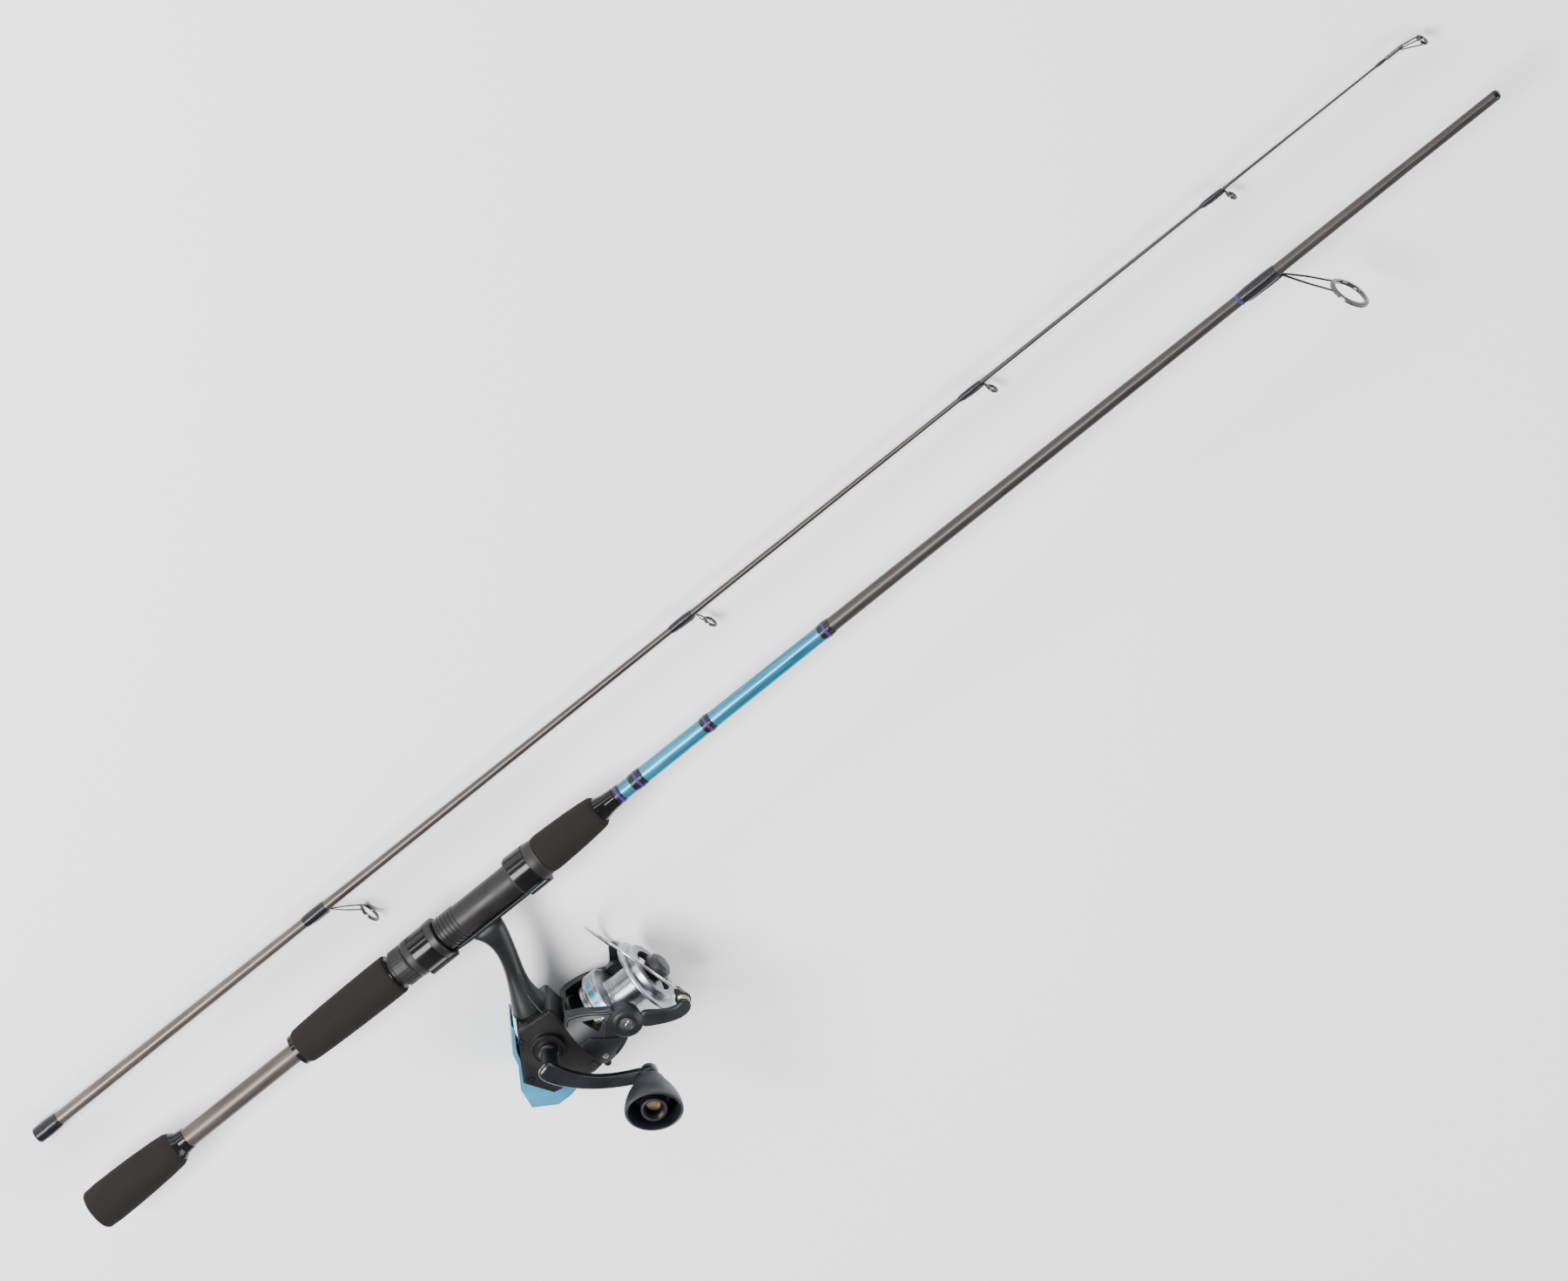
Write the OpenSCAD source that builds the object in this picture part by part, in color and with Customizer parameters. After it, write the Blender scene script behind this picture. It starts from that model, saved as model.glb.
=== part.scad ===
// Two-piece spinning rod with a small fixed-spool reel, laid side by side.
// The butt section's axis is X, with its butt face at X = 0. The reel hangs towards -Y,
// the tip section lies on the +Y side, and the crank comes out along +Z.

/* [Butt section] */
// Length from the butt face to the closed front end
butt_length = 939; // [930:1:950]
// Radius of the slip-in spigot at the front end
spigot_r = 2.75; // [2.6:0.05:2.9]
// Radius of the reel seat body
seat_r = 8.5; // [8:0.1:9]
// Outer radius of the largest guide ring
butt_ring_r = 10.9; // [10:0.1:12]

/* [Tip section] */
// Distance between the two sections' axes
tip_offset_y = 43; // [40:1:60]
// Height of the tip section's axis against the butt section's
tip_z = -21.5; // [-22:0.5:0]
// Length of the tip blank
tip_length = 905; // [900:1:910]
// Running clearance between the spigot and its socket
ferrule_clearance = 0.05; // [0.02:0.01:0.1]

/* [Reel] */
// Place of the crank axis along the rod
crank_x = 233.5; // [233.5:0.5:234]
// Place of the crank axis across the rod
crank_y = -79.5; // [-80:0.5:-79]
// Distance of the spool's axis beyond the crank axis
shaft_offset = 10; // [9.9:0.05:10.1]
// Radius of the spool's front lip
lip_r = 21; // [20:0.1:21.2]
// Travel of the spool along its shaft
spool_stroke = 6; // [5:0.5:6]

/* [Crank] */
// Reach of the knob's axis along X from the crank axis
knob_dx = 35.5; // [34:0.5:38]
// Reach of the knob's axis along Y from the crank axis
knob_dy = -34.6; // [-36:0.1:-30]
// Length of the knob
knob_length = 32; // [30:1:34]

/* [Hidden] */
$fn = 64;

axis_y = crank_y - shaft_offset;      // the spool's and rotor's axis
gap = 0.3;                            // room between neighbours on different bodies

// --- outlines along the rod: [distance from the butt, radius] ---------------------------------
blank_wall = 0.8;
butt_profile = [
    [6, 5.4], [140, 5.1], [345, 4.35], [498, 3.95], [872, 2.85], [876, spigot_r],
    [butt_length - 2, spigot_r]
];
rear_grip_profile = [
    [0, 10.3], [1, 11], [8, 11.4], [18, 11.3], [32, 10.9], [45, 10.2], [52, 9.5], [55, 8.2]
];
middle_grip_profile = [
    [139.5, 8.8], [141, 9.5], [146, 9.9], [155, 10.3], [173, 10.75], [191, 11], [201.5, 11], [202.5, 10.4]
];
fore_grip_profile = [[303, 10.4], [306, 10.6], [315, 10.3], [324, 9.9], [334, 9.2], [339, 8.6], [340.5, 7.6]];
socket_depth = 62;
tip_profile = [
    [0, 3.5], [62, 3.3], [180, 2.65], [320, 2.15], [455, 1.62], [590, 1.25], [725, 0.95], [862, 0.65],
    [tip_length, 0.55]
];
seat_x0 = 203;
seat_x1 = 302.6;
hood_x0 = 214.4;                      // rear end of the sliding hood
hood_x1 = 234.5;                      // its mouth
nut_x0 = 205.2;
nut_x1 = 213.9;
front_hood_x = 284;                   // mouth of the fixed hood
thread_pitch = 2.2;
foot_t = 2.6;                         // thickness of the reel's foot
foot_x0 = 232.7;
foot_x1 = 293;

blue_t = 0.25;
wrap_spans = [[352, 356.5], [363, 371], [411, 417.2], [489.5, 496.5], [770, 792]];
wrap_swell = 0.55;
trim_t = 0.12;
trim_w = 1.6;
guide_foot_x = 792;
butt_ring_at = [809.8, -35.3];
butt_ring_lean = 20;
butt_ring_w = 1.5;

// wrap start, ring centre's distance along and across, ring radius, lean of each tip guide
tip_guides = [
    [182, 209.5, 18.4, 5.9, 11], [429, 446.5, 10, 3.9, 20], [622, 638, 6.6, 3.2, 24], [782, 797.5, 5.8, 3, 24]
];
tip_wrap_length = 14;
tip_top_at = [924.5, 4.3];
tip_top_r = 3.3;

// --- reel layout -------------------------------------------------------------------------------
body_front = 248.4;
collar_front = 251.2;
body_half = 13.5;                     // half thickness of the housing
wall = 2;
cover_z = 11.5;                       // underside of the side cover
boss_z = 17;                          // top of its bearing boss
boss_r = 8.7;
collar_r = 14.2;
housing = [[body_front, -64], [228.5, -62], [210.5, -87], [218, -101.8], [241, -106.8], [body_front, -106]];
cavity = [[246.4, -66], [229.6, -64.2], [212.9, -87.3], [219.4, -100], [241.2, -104.7], [246.4, -104]];

crank_r = 2.5;
bearing_r = 4.5;
bearing_w = 3;
run_fit = 0.04;                       // radial running clearance of the reel's small shafts

pinion_n = 6;
gear_ratio = 4;
tooth_module = 0.75;
pinion_r = pinion_n * tooth_module / 2;
mesh_x = gear_ratio * pinion_r;       // mesh point ahead of the crank axis
gear_r = norm([mesh_x, shaft_offset]);
gear_n = pinion_n * gear_ratio;
tooth_w = 0.92;
tooth_up = 0.6;
tooth_down = 0.8;
main_r = 1.1;
shank_r = 2.1;                        // the pinion's hollow shank
spur_n = 12;
spur_module = 0.6;
spur_r = spur_n * spur_module / 2;
osc_n = 24;
osc_r = osc_n * spur_module / 2;
osc_dir = [-0.7, -0.714];
osc_at = [crank_x, crank_y] + osc_dir * (spur_r + osc_r + 0.12);
spur_z = [-7, -4.6];

pivot_x = 276.4;                      // the bail's pivot
arm_in = 19.8;                        // inside and outside radius of the rotor's arms
arm_out = 23;
arm_x0 = 248.9;
rotor_x = 251.6;                      // back of the rotor's disc
rim_r = 16.4;                         // the rotor's cupped rim
bail_z = 23.6;
bail_t = 3.4;
bail_hub_r = 8.7;
tip_dx = 26.9;                        // the roller, from the pivot
tip_dy = -13.5;
wire_r = 0.75;
wire_start = [tip_dx + 0.7, tip_dy + 4.8, 16.4];
wire_apex = [12.5, 40.5, -2];
wire_end = [6, 12, -24.9];

arm_z0 = 35;                          // crank arm
arm_t = 6;
crank_bow = 6;
knob_z = arm_z0 + arm_t + 1.6;

BLACK = "#1d1e1f";
GRAPHITE = "#4c4741";
SEAT = "#3f3d3b";
FOAM = "#2d2a26";
SKY = "#3fa9d6";
INDIGO = "#3a2f8f";
BODY = "#2b2f30";
SILVER = "#c9cccf";
STEEL = "#9a9c9e";
BRASS = "#a8925c";

// --- small helpers -----------------------------------------------------------------------------
function lerp(a, b, t) = a + (b - a) * t;
function radius_at(profile, x) = lookup(x, profile);
function bezier(p, t) =
    pow(1 - t, 3) * p[0] + 3 * pow(1 - t, 2) * t * p[1] + 3 * (1 - t) * t * t * p[2] + pow(t, 3) * p[3];
function bezier_points(p, n = 12) = [for (i = [0:n]) bezier(p, i / n)];

// a solid of revolution about X from [x, r] points, with an optional bore from [x, r] points
module turned(profile, bore = []) {
    inner = len(bore) > 0 ? bore : [[profile[len(profile) - 1][0], 0], [profile[0][0], 0]];
    rotate([0, 90, 0])
        rotate_extrude()
            polygon([for (p = concat(profile, inner)) [p[1], p[0]]]);
}

// the same between two stations of a profile, thicker by t, and solid to the axis if filled
module sleeve(profile, x0, x1, t, swell = 0, filled = false) {
    mid = (x0 + x1) / 2;
    turned(
        [[x0, radius_at(profile, x0) + t], [x0 + 0.6, radius_at(profile, x0) + t + swell],
         [mid, radius_at(profile, mid) + t + swell], [x1 - 0.6, radius_at(profile, x1) + t + swell],
         [x1, radius_at(profile, x1) + t]],
        filled ? [] : [[x1, radius_at(profile, x1)], [mid, radius_at(profile, mid)], [x0, radius_at(profile, x0)]]
    );
}

module x_cylinder(x0, x1, r, r2 = undef) {
    translate([x0, 0, 0]) rotate([0, 90, 0]) cylinder(h = x1 - x0, r1 = r, r2 = is_undef(r2) ? r : r2);
}

module x_ring(x0, x1, r_out, r_in) {
    difference() {
        x_cylinder(x0, x1, r_out);
        x_cylinder(x0 - 1, x1 + 1, r_in);
    }
}

module z_cylinder(z0, z1, r) {
    translate([0, 0, z0]) cylinder(h = z1 - z0, r = r);
}

module z_ring(z0, z1, r_out, r_in) {
    difference() {
        z_cylinder(z0, z1, r_out);
        z_cylinder(z0 - 1, z1 + 1, r_in);
    }
}

module on_spool_axis() { translate([0, axis_y, 0]) children(); }
module on_crank_axis() { translate([crank_x, crank_y, 0]) children(); }
module on_bail_pivot() { translate([pivot_x, axis_y, 0]) children(); }
module on_tip_axis() { translate([0, tip_offset_y, tip_z]) children(); }

// a round rod between two points
module strut(a, b, r) {
    d = b - a;
    length = norm(d);
    translate(a)
        rotate([0, acos(d[2] / length), atan2(d[1], d[0])])
            cylinder(h = length, r = r);
}

// a flat link between two circles with straight tangent sides
module link2d(a, ra, b, rb) {
    d = b - a;
    turn = atan2(d[1], d[0]);
    tilt = acos((ra - rb) / norm(d));
    inset = 0.999;                    // the sides start a hair inside the circles
    translate(a) circle(ra);
    translate(b) circle(rb);
    polygon([for (e = [[a, ra, 1], [b, rb, 1], [b, rb, -1], [a, ra, -1]])
        e[0] + inset * e[1] * [cos(turn + e[2] * tilt), sin(turn + e[2] * tilt)]]);
}

// an outline of straight-sided gear teeth
module gear2d(n, m, thickness, shift = 0, depth = 1.1) {
    pitch = n * m / 2;
    root = pitch - depth * m;
    tip = pitch + 0.9 * m;
    circle(root);
    for (i = [0:n - 1])
        rotate(shift + i * 360 / n)
            polygon([
                [root * 0.9, -thickness * 0.72], [root, -thickness * 0.72], [pitch, -thickness / 2],
                [tip, -thickness * 0.22], [tip, thickness * 0.22], [pitch, thickness / 2],
                [root, thickness * 0.72], [root * 0.9, thickness * 0.72]
            ]);
}

// --- butt section ------------------------------------------------------------------------------
module butt_blank() {
    color(GRAPHITE)
        turned(butt_profile, [for (i = [len(butt_profile) - 1:-1:0]) butt_profile[i] - [0, blank_wall]]);
}

module spigot_plug() {
    tail = butt_length - 2;
    color(BLACK)
        turned([
            [tail - 8, spigot_r - blank_wall - 0.02], [tail, spigot_r - blank_wall - 0.02],
            [tail, spigot_r], [tail + 1.1, spigot_r - 0.3], [tail + 1.8, spigot_r - 1], [tail + 2, spigot_r - 1.8]
        ]);
}

module grip(profile) {
    last = len(profile) - 1;
    color(FOAM)
        turned(profile, [[profile[last][0], radius_at(butt_profile, profile[last][0])],
                         [profile[0][0], radius_at(butt_profile, profile[0][0])]]);
}

module rear_grip() {
    color(FOAM)
        turned(rear_grip_profile, [[55, radius_at(butt_profile, 55)], [6, radius_at(butt_profile, 6)], [6, 0], [0, 0]]);
}

module rear_grip_check() {
    color(BLACK)
        turned([[55, 8], [56, 7.6], [58, 6.4], [62, 5.9]],
               [[62, radius_at(butt_profile, 62)], [55, radius_at(butt_profile, 55)]]);
}

module middle_grip() { grip(middle_grip_profile); }

module middle_grip_rings() {
    color(BLACK) {
        turned([[136.5, 6], [137, 8.6], [139.5, 8.6]],
               [[139.5, radius_at(butt_profile, 139.5)], [136.5, radius_at(butt_profile, 136.5)]]);
        turned([[202.5, 9.6], [203, 9.6]], [[203, radius_at(butt_profile, 203)], [202.5, radius_at(butt_profile, 202.5)]]);
    }
}

thread_x0 = 236;
thread_count = 6;

module seat_body() {
    r_in = radius_at(butt_profile, seat_x0);
    r_out = radius_at(butt_profile, seat_x1);
    front_hood = [[front_hood_x, seat_r + 2.2], [front_hood_x + 1, seat_r + 2.5], [front_hood_x + 13, seat_r + 2.2],
                  [front_hood_x + 16, seat_r + 2], [seat_x1, seat_r + 1.6]];
    color(SEAT)
        difference() {
            union() {
                turned([[seat_x0, seat_r - 0.8], [nut_x1 + 0.2, seat_r - 0.8], [nut_x1 + 1, seat_r - 0.6],
                        [thread_x0 - 1.1, seat_r - 0.6], [thread_x0 - 1, seat_r], [front_hood_x, seat_r],
                        each front_hood],
                       [[seat_x1, r_out], [seat_x0, r_in]]);
                for (i = [0:thread_count - 1])
                    translate([thread_x0 + i * thread_pitch, 0, 0])
                        turned([[-0.8, seat_r - 0.1], [-0.35, seat_r + 0.5], [0.35, seat_r + 0.5], [0.8, seat_r - 0.1]],
                               [[0.8, seat_r - 1], [-0.8, seat_r - 1]]);
                // the fixed hood bulges over the foot
                translate([front_hood_x + 0.5, -seat_r - 0.6, 0]) x_cylinder(0, 13, 4.6);
            }
            // room for the foot's front tongue
            translate([front_hood_x - 0.1, -seat_r - 3.2, -3.9]) cube([10.4, foot_t + 0.6, 7.8]);
            // flat seat for the foot along the underside
            translate([thread_x0 - 12, -seat_r - 6, -3.9]) cube([front_hood_x - thread_x0 + 12.2, 6.02, 7.8]);
        }
}

module seat_front_band() {
    color(BLACK)
        difference() {
            turned([[front_hood_x + 1.5, seat_r + 2.85], [front_hood_x + 12.5, seat_r + 2.6]],
                   [[front_hood_x + 12.5, seat_r + 2.22], [front_hood_x + 1.5, seat_r + 2.49]]);
            translate([front_hood_x, -2 * seat_r - 3.6, -9]) cube([20, seat_r + 2.8, 18]);
        }
}

module fore_grip() { grip(fore_grip_profile); }

module fore_grip_check() {
    color(BLACK)
        turned([[340.5, 6.6], [342, 6.4], [346, 5.5], [352, 4.95]],
               [[352, radius_at(butt_profile, 352)], [340.5, radius_at(butt_profile, 340.5)]]);
}

module blue_sleeve() {
    color(SKY)
        for (i = [0:2])
            sleeve(butt_profile, wrap_spans[i][1], wrap_spans[i + 1][0], blue_t);
}

module butt_wraps() {
    color(BLACK)
        difference() {
            union() {
                for (span = wrap_spans)
                    sleeve(butt_profile, span[0], span[1], 0.3, wrap_swell - 0.3, true);
                foot_cover(guide_foot_x, butt_foot_y, butt_leg_r);
            }
            foot_pocket(guide_foot_x, butt_foot_y, butt_leg_r);
            turned(butt_profile);
        }
}

// narrow rings of trim thread on the wraps, and the one behind the butt guide
module trim_bands() {
    color(INDIGO)
        for (x = [353.8, 366.4, 413.4, 492.3, 767.5]) {
            under = radius_at(butt_profile, x) + (x < 700 ? wrap_swell + 0.02 : 0);
            turned([[x, under + trim_t], [x + 0.3, under + 2 * trim_t], [x + trim_w - 0.3, under + 2 * trim_t],
                    [x + trim_w, under + trim_t]],
                   [[x + trim_w, under], [x, under]]);
        }
}

// a guide: a ring held ahead of and below its foot, leaning forward
module guide_ring(at, r_out, r_in, w, lean) {
    translate([at[0], at[1], 0])
        rotate([0, 0, lean])
            rotate([0, 90, 0])
                rotate_extrude()
                    polygon([[r_in + 0.3, -w / 2], [r_in, 0.3 - w / 2], [r_in, w / 2 - 0.3], [r_in + 0.3, w / 2],
                             [r_out, w / 2], [r_out, -w / 2]]);
}

guide_foot = 9;                       // length of a guide's foot under its wrap

// the swelling of the thread over a guide's two-legged foot, and the room for the foot in it
module foot_cover(foot_x, foot_y, leg_r) {
    side = leg_r + 0.25;
    translate([foot_x - guide_foot - 2.4, 0, 0])
        rotate([90, 0, 90])
            linear_extrude(guide_foot + 2.2)
                link2d([foot_y, -side], leg_r + 0.35, [foot_y, side], leg_r + 0.35);
}

module foot_pocket(foot_x, foot_y, leg_r) {
    half_w = 2 * leg_r + 0.29;
    translate([foot_x - guide_foot - 0.02, foot_y - leg_r - 0.02, -half_w])
        cube([guide_foot + 4, 2 * leg_r + 0.04, 2 * half_w]);
}

module guide_frame(foot_x, foot_y, at, r, lean, leg_r, w, spread) {
    inward = [sin(lean), -cos(lean)];
    // outer hoop that holds the ring, and the plate between the legs' feet
    translate([at[0], at[1], 0]) rotate([0, 0, lean]) x_ring(-w / 2, w / 2, r + 0.6, r);
    translate([foot_x - guide_foot + 1, foot_y - leg_r * 0.5, -leg_r]) cube([guide_foot, leg_r, 2 * leg_r]);
    // a leg on each side, from the foot to the hoop's shoulder
    for (side = [-1, 1]) {
        hold = [at[0] - inward[0] * (r + 0.3) * cos(spread), at[1] - inward[1] * (r + 0.3) * cos(spread),
                side * (r + 0.3) * sin(spread)];
        knee = [foot_x + 1, foot_y, side * (leg_r + 0.25)];
        strut([foot_x - guide_foot, foot_y, side * (leg_r + 0.25)], knee + [0.3, 0, 0], leg_r);
        strut(knee, hold, leg_r * 0.92);
    }
}

butt_leg_r = 0.6;
butt_foot_y = -radius_at(butt_profile, guide_foot_x) - 0.9;

module butt_guide_frame() {
    color(STEEL)
        guide_frame(guide_foot_x, butt_foot_y, butt_ring_at, butt_ring_r - 0.6, butt_ring_lean, butt_leg_r,
                    butt_ring_w, 28);
}

module butt_guide_ring() {
    color(BLACK)
        guide_ring(butt_ring_at, butt_ring_r - 0.62, butt_ring_r - 2.8, butt_ring_w + 0.8, butt_ring_lean);
}

// --- sliding hood and lock nut -----------------------------------------------------------------
module sliding_hood() {
    length = hood_x1 - hood_x0;
    color(SEAT)
        difference() {
            union() {
                turned([[hood_x0, 10.3], [hood_x0 + 1, 10.6], [hood_x0 + 4, 10.6], [hood_x0 + 4.01, 10.4],
                        [hood_x1 - 4, 10.4], [hood_x1 - 3.99, 10.9], [hood_x1 - 0.5, 10.9], [hood_x1, 10.7]],
                       [[hood_x1, seat_r - 0.4], [hood_x0, seat_r - 0.4]]);
                translate([hood_x0 + 3, -seat_r - 0.6, 0]) x_cylinder(0, length - 3.5, 4.8);
            }
            x_cylinder(hood_x0 - 1, hood_x1 + 1, seat_r - 0.4);
            translate([hood_x1 - 12, -seat_r - 3.4, -4]) cube([14, foot_t + 0.9, 8]);
        }
}

module hood_band() {
    color(BLACK)
        difference() {
            turned([[hood_x0 + 4.5, 10.72], [hood_x1 - 4.5, 10.72]], [[hood_x1 - 4.5, 10.42], [hood_x0 + 4.5, 10.42]]);
            translate([hood_x0, -2 * seat_r - 3, -9]) cube([24, seat_r + 2.5, 18]);
        }
}

module lock_nut() {
    ribs = 30;
    color(SEAT)
        difference() {
            union() {
                turned([[nut_x0, 9.2], [nut_x0 + 0.6, 9.6], [nut_x1 - 0.6, 10.1], [nut_x1, 9.8]],
                       [[nut_x1, seat_r - 0.72], [nut_x0, seat_r - 0.72]]);
                for (i = [0:ribs - 1])
                    rotate([i * 360 / ribs, 0, 0])
                        translate([nut_x0 + 1, 0, 9.45]) cube([nut_x1 - nut_x0 - 2, 0.9, 0.75]);
            }
            x_cylinder(nut_x0 - 1, nut_x1 + 1, seat_r - 0.72);
        }
}

// --- tip section -------------------------------------------------------------------------------
module tip_blank() {
    socket_r = spigot_r + ferrule_clearance;
    color(GRAPHITE)
        on_tip_axis()
            difference() {
                turned(tip_profile);
                x_cylinder(-1, socket_depth, socket_r);
                x_cylinder(socket_depth - 0.01, 600, 2.1, 0.5);
            }
}

module ferrule_wrap() {
    color(BLACK)
        on_tip_axis()
            turned([[0, 3.9], [0.8, 4.3], [8, 4.4], [13.5, 4.1], [15, 3.7]],
                   [[15, radius_at(tip_profile, 15)], [0, radius_at(tip_profile, 0)]]);
}

tip_leg_r = 0.45;
function tip_foot_y(g) = -radius_at(tip_profile, g[0]) - 0.75;

module tip_guide_frames() {
    color(STEEL)
        on_tip_axis()
            for (g = tip_guides)
                guide_frame(g[0] + tip_wrap_length, tip_foot_y(g), [g[1], -g[2]], g[3] - 0.55, g[4], tip_leg_r, 1, 24);
}

module tip_guide_rings() {
    color(BLACK)
        on_tip_axis()
            for (g = tip_guides)
                guide_ring([g[1], -g[2]], g[3] - 0.57, g[3] - 1.5, 1.5, g[4]);
}

module tip_wraps() {
    color(BLACK)
        on_tip_axis() {
            for (g = tip_guides) {
                foot_x = g[0] + tip_wrap_length;
                difference() {
                    union() {
                        sleeve(tip_profile, g[0], foot_x, 0.3, 0.3, true);
                        foot_cover(foot_x, tip_foot_y(g), tip_leg_r);
                    }
                    foot_pocket(foot_x, tip_foot_y(g), tip_leg_r);
                    turned(tip_profile);
                }
            }
            sleeve(tip_profile, 898, tip_length - 0.5, 0.1, 0.3);
        }
}

module tip_top_frame() {
    color(STEEL)
        on_tip_axis() {
            x_ring(tip_length - 0.4, 915, 1.05, 0.56);
            translate([tip_top_at[0], -tip_top_at[1], 0])
                rotate([0, 0, 20])
                    x_ring(-0.5, 0.5, tip_top_r, tip_top_r - 0.5);
            strut([914, 0.6, 0], [tip_top_at[0] + 0.8, -tip_top_at[1] + tip_top_r - 0.4, 0], 0.4);
            for (side = [-1, 1])
                strut([913, -0.6, side * 0.6],
                      [tip_top_at[0] - 0.5, -tip_top_at[1] - 0.8, side * (tip_top_r - 0.25)], 0.35);
        }
}

module tip_top_ring() {
    color(BLACK)
        on_tip_axis()
            translate([tip_top_at[0], -tip_top_at[1], 0])
                rotate([0, 0, 20])
                    x_ring(-0.7, 0.7, tip_top_r - 0.52, tip_top_r - 1.3);
}

// --- reel housing ------------------------------------------------------------------------------
stem_rear = [[243, -10.2], [252, -19], [249, -33], [226, -63]];
stem_front = [[248, -66], [243, -50], [257, -36], [264, -10.2]];

module foot() {
    // a long plate with tapered tongues, hollowed to lie on the seat
    difference() {
        translate([0, -seat_r - 0.3, 0])
            rotate([90, 0, 0])
                linear_extrude(foot_t)
                    polygon([[foot_x0, -2.6], [foot_x0 + 10, -3.6], [foot_x1 - 10, -3.6], [foot_x1, -2.6],
                             [foot_x1, 2.6], [foot_x1 - 10, 3.6], [foot_x0 + 10, 3.6], [foot_x0, 2.6]]);
        x_cylinder(foot_x0 - 5, foot_x1 + 5, seat_r + 0.12);
    }
}

lever_at = [245.5, -108.6];

module reel_body() {
    color(BODY) {
        difference() {
            union() {
                foot();
                translate([0, 0, -4.2])
                    linear_extrude(8.4)
                        polygon(concat(bezier_points(stem_rear), bezier_points(stem_front)));
                translate([0, 0, -body_half])
                    linear_extrude(body_half + cover_z)
                        polygon(housing);
                on_spool_axis() x_cylinder(body_front - 0.01, collar_front, collar_r);
            }
            translate([0, 0, -body_half + wall])
                linear_extrude(60)
                    polygon(cavity);
            // round recess for the drive gear, reaching into the collar's back
            on_crank_axis() z_cylinder(pinion_r - 0.9, 60, gear_r + 1.2);
            on_spool_axis() x_cylinder(240, collar_front + 1, bearing_r);
            // seats for the slider's guide rod
            translate([0, axis_y - 8, 0]) x_cylinder(210, body_front - 0.5, 0.82);
        }
        on_crank_axis() z_ring(-body_half + wall, -8.4, 6.2, bearing_r);
        // post for the oscillation gear
        translate([osc_at[0], osc_at[1], 0]) z_cylinder(-body_half + wall - 0.01, -4, 1.5);
        // ears for the anti-reverse lever
        for (side = [-1, 1])
            translate([lever_at[0], lever_at[1], side * 2.7 - 0.7])
                difference() {
                    union() {
                        cylinder(h = 1.4, r = 1.9);
                        translate([-1.9, 0, 0]) cube([3.8, 2.6, 1.4]);
                    }
                    translate([0, 0, -1]) cylinder(h = 4, r = 0.85);
                }
    }
}

module side_cover() {
    color(BODY)
        difference() {
            union() {
                translate([0, 0, cover_z])
                    linear_extrude(wall)
                        polygon(housing);
                on_crank_axis() z_cylinder(cover_z, boss_z, boss_r);
                on_crank_axis() z_cylinder(8.6, cover_z + 0.1, 6.2);
            }
            on_crank_axis() z_cylinder(8, cover_z + 2, bearing_r);
            on_crank_axis() z_cylinder(0, 30, crank_r + 0.9);
            on_crank_axis() z_ring(boss_z - 0.8, boss_z + 1, boss_r - 1.2, 5.4);
            for (p = screw_places) translate(p) z_cylinder(12.6, 15, 1.75);
            for (p = screw_places) translate(p) z_cylinder(0, 15, 0.95);
        }
}

screw_places = [[225.5, -68], [214.6, -88.2], [243.6, -103.2]];

module rear_cover() {
    outer = [[227.6, -58.6], [217, -71.6], [214.4, -79], [205.8, -90.3], [203, -102], [213.8, -110], [222, -110.2],
             [241, -106.8]];
    inner = [housing[3], housing[2], [217.4, -77.2], [219.6, -72], [227.9, -60.6]];
    color(SKY)
        difference() {
            translate([0, 0, -11])
                linear_extrude(22)
                    polygon(concat(outer, inner));
            translate([0, 0, -9.4])
                linear_extrude(18.8)
                    polygon([[207, -91.5], [205, -101], [214.5, -108.2], [224, -108.4], [223, -102.8], housing[3],
                             housing[2]]);
        }
}

module side_cap() {
    color(BLACK)
        on_crank_axis() {
            z_cylinder(-body_half - 2.2, -body_half, 6.4);
            z_cylinder(-body_half - 2.8, -body_half - 2.2, 5.2);
        }
}

module body_screws() {
    color(STEEL)
        for (p = screw_places)
            translate(p)
                difference() {
                    union() {
                        z_cylinder(12.7, 14, 1.7);
                        z_cylinder(cover_z, 12.7, 0.9);
                    }
                    for (turn = [0, 90]) rotate(turn) translate([-1.1, -0.2, 13.4]) cube([2.2, 0.4, 1]);
                }
}

module crank_bearings() {
    color(STEEL)
        on_crank_axis() {
            z_ring(cover_z + 2 - bearing_w, cover_z + 2, bearing_r, crank_r + run_fit);
            z_ring(-body_half + wall, -body_half + wall + bearing_w, bearing_r, crank_r + run_fit);
        }
}

module pinion_bearing() {
    color(STEEL) on_spool_axis() x_ring(248, 249.6, bearing_r, shank_r + run_fit);
}

module one_way_clutch() {
    color(STEEL) on_spool_axis() x_ring(249.7, 251.1, bearing_r, shank_r + run_fit);
}

module slider_guide_rod() {
    color(STEEL) translate([0, axis_y - 8, 0]) x_cylinder(215, 247.5, 0.8);
}

module anti_reverse_lever() {
    color(BLACK)
        translate([lever_at[0], lever_at[1], 0])
            union() {
                z_cylinder(-3.5, 3.5, 0.8);
                translate([0, 0, -1.7])
                    linear_extrude(3.4)
                        difference() {
                            link2d([0, 0], 1.5, [-0.8, -5], 1.9);
                            link2d([-0.4, -2.6], 0.5, [-0.7, -4.7], 0.85);
                        }
            }
}

// --- crank -------------------------------------------------------------------------------------
module crank_outline() {
    steps = 10;
    reach = norm([knob_dx, knob_dy]);
    function mid(t) = [reach * t, -crank_bow * 4 * t * (1 - t) * (1 - 0.35 * t)];
    function half(t) = lerp(5, 3.6, min(1, t * 1.6));
    rotate(atan2(knob_dy, knob_dx)) {
        polygon(concat(
            [for (i = [0:steps]) mid(i / steps) + [0, half(i / steps)]],
            [for (i = [steps:-1:0]) mid(i / steps) - [0, half(i / steps)]]
        ));
        circle(half(0));
        translate([reach, 0]) circle(4.6);
    }
}

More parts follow.
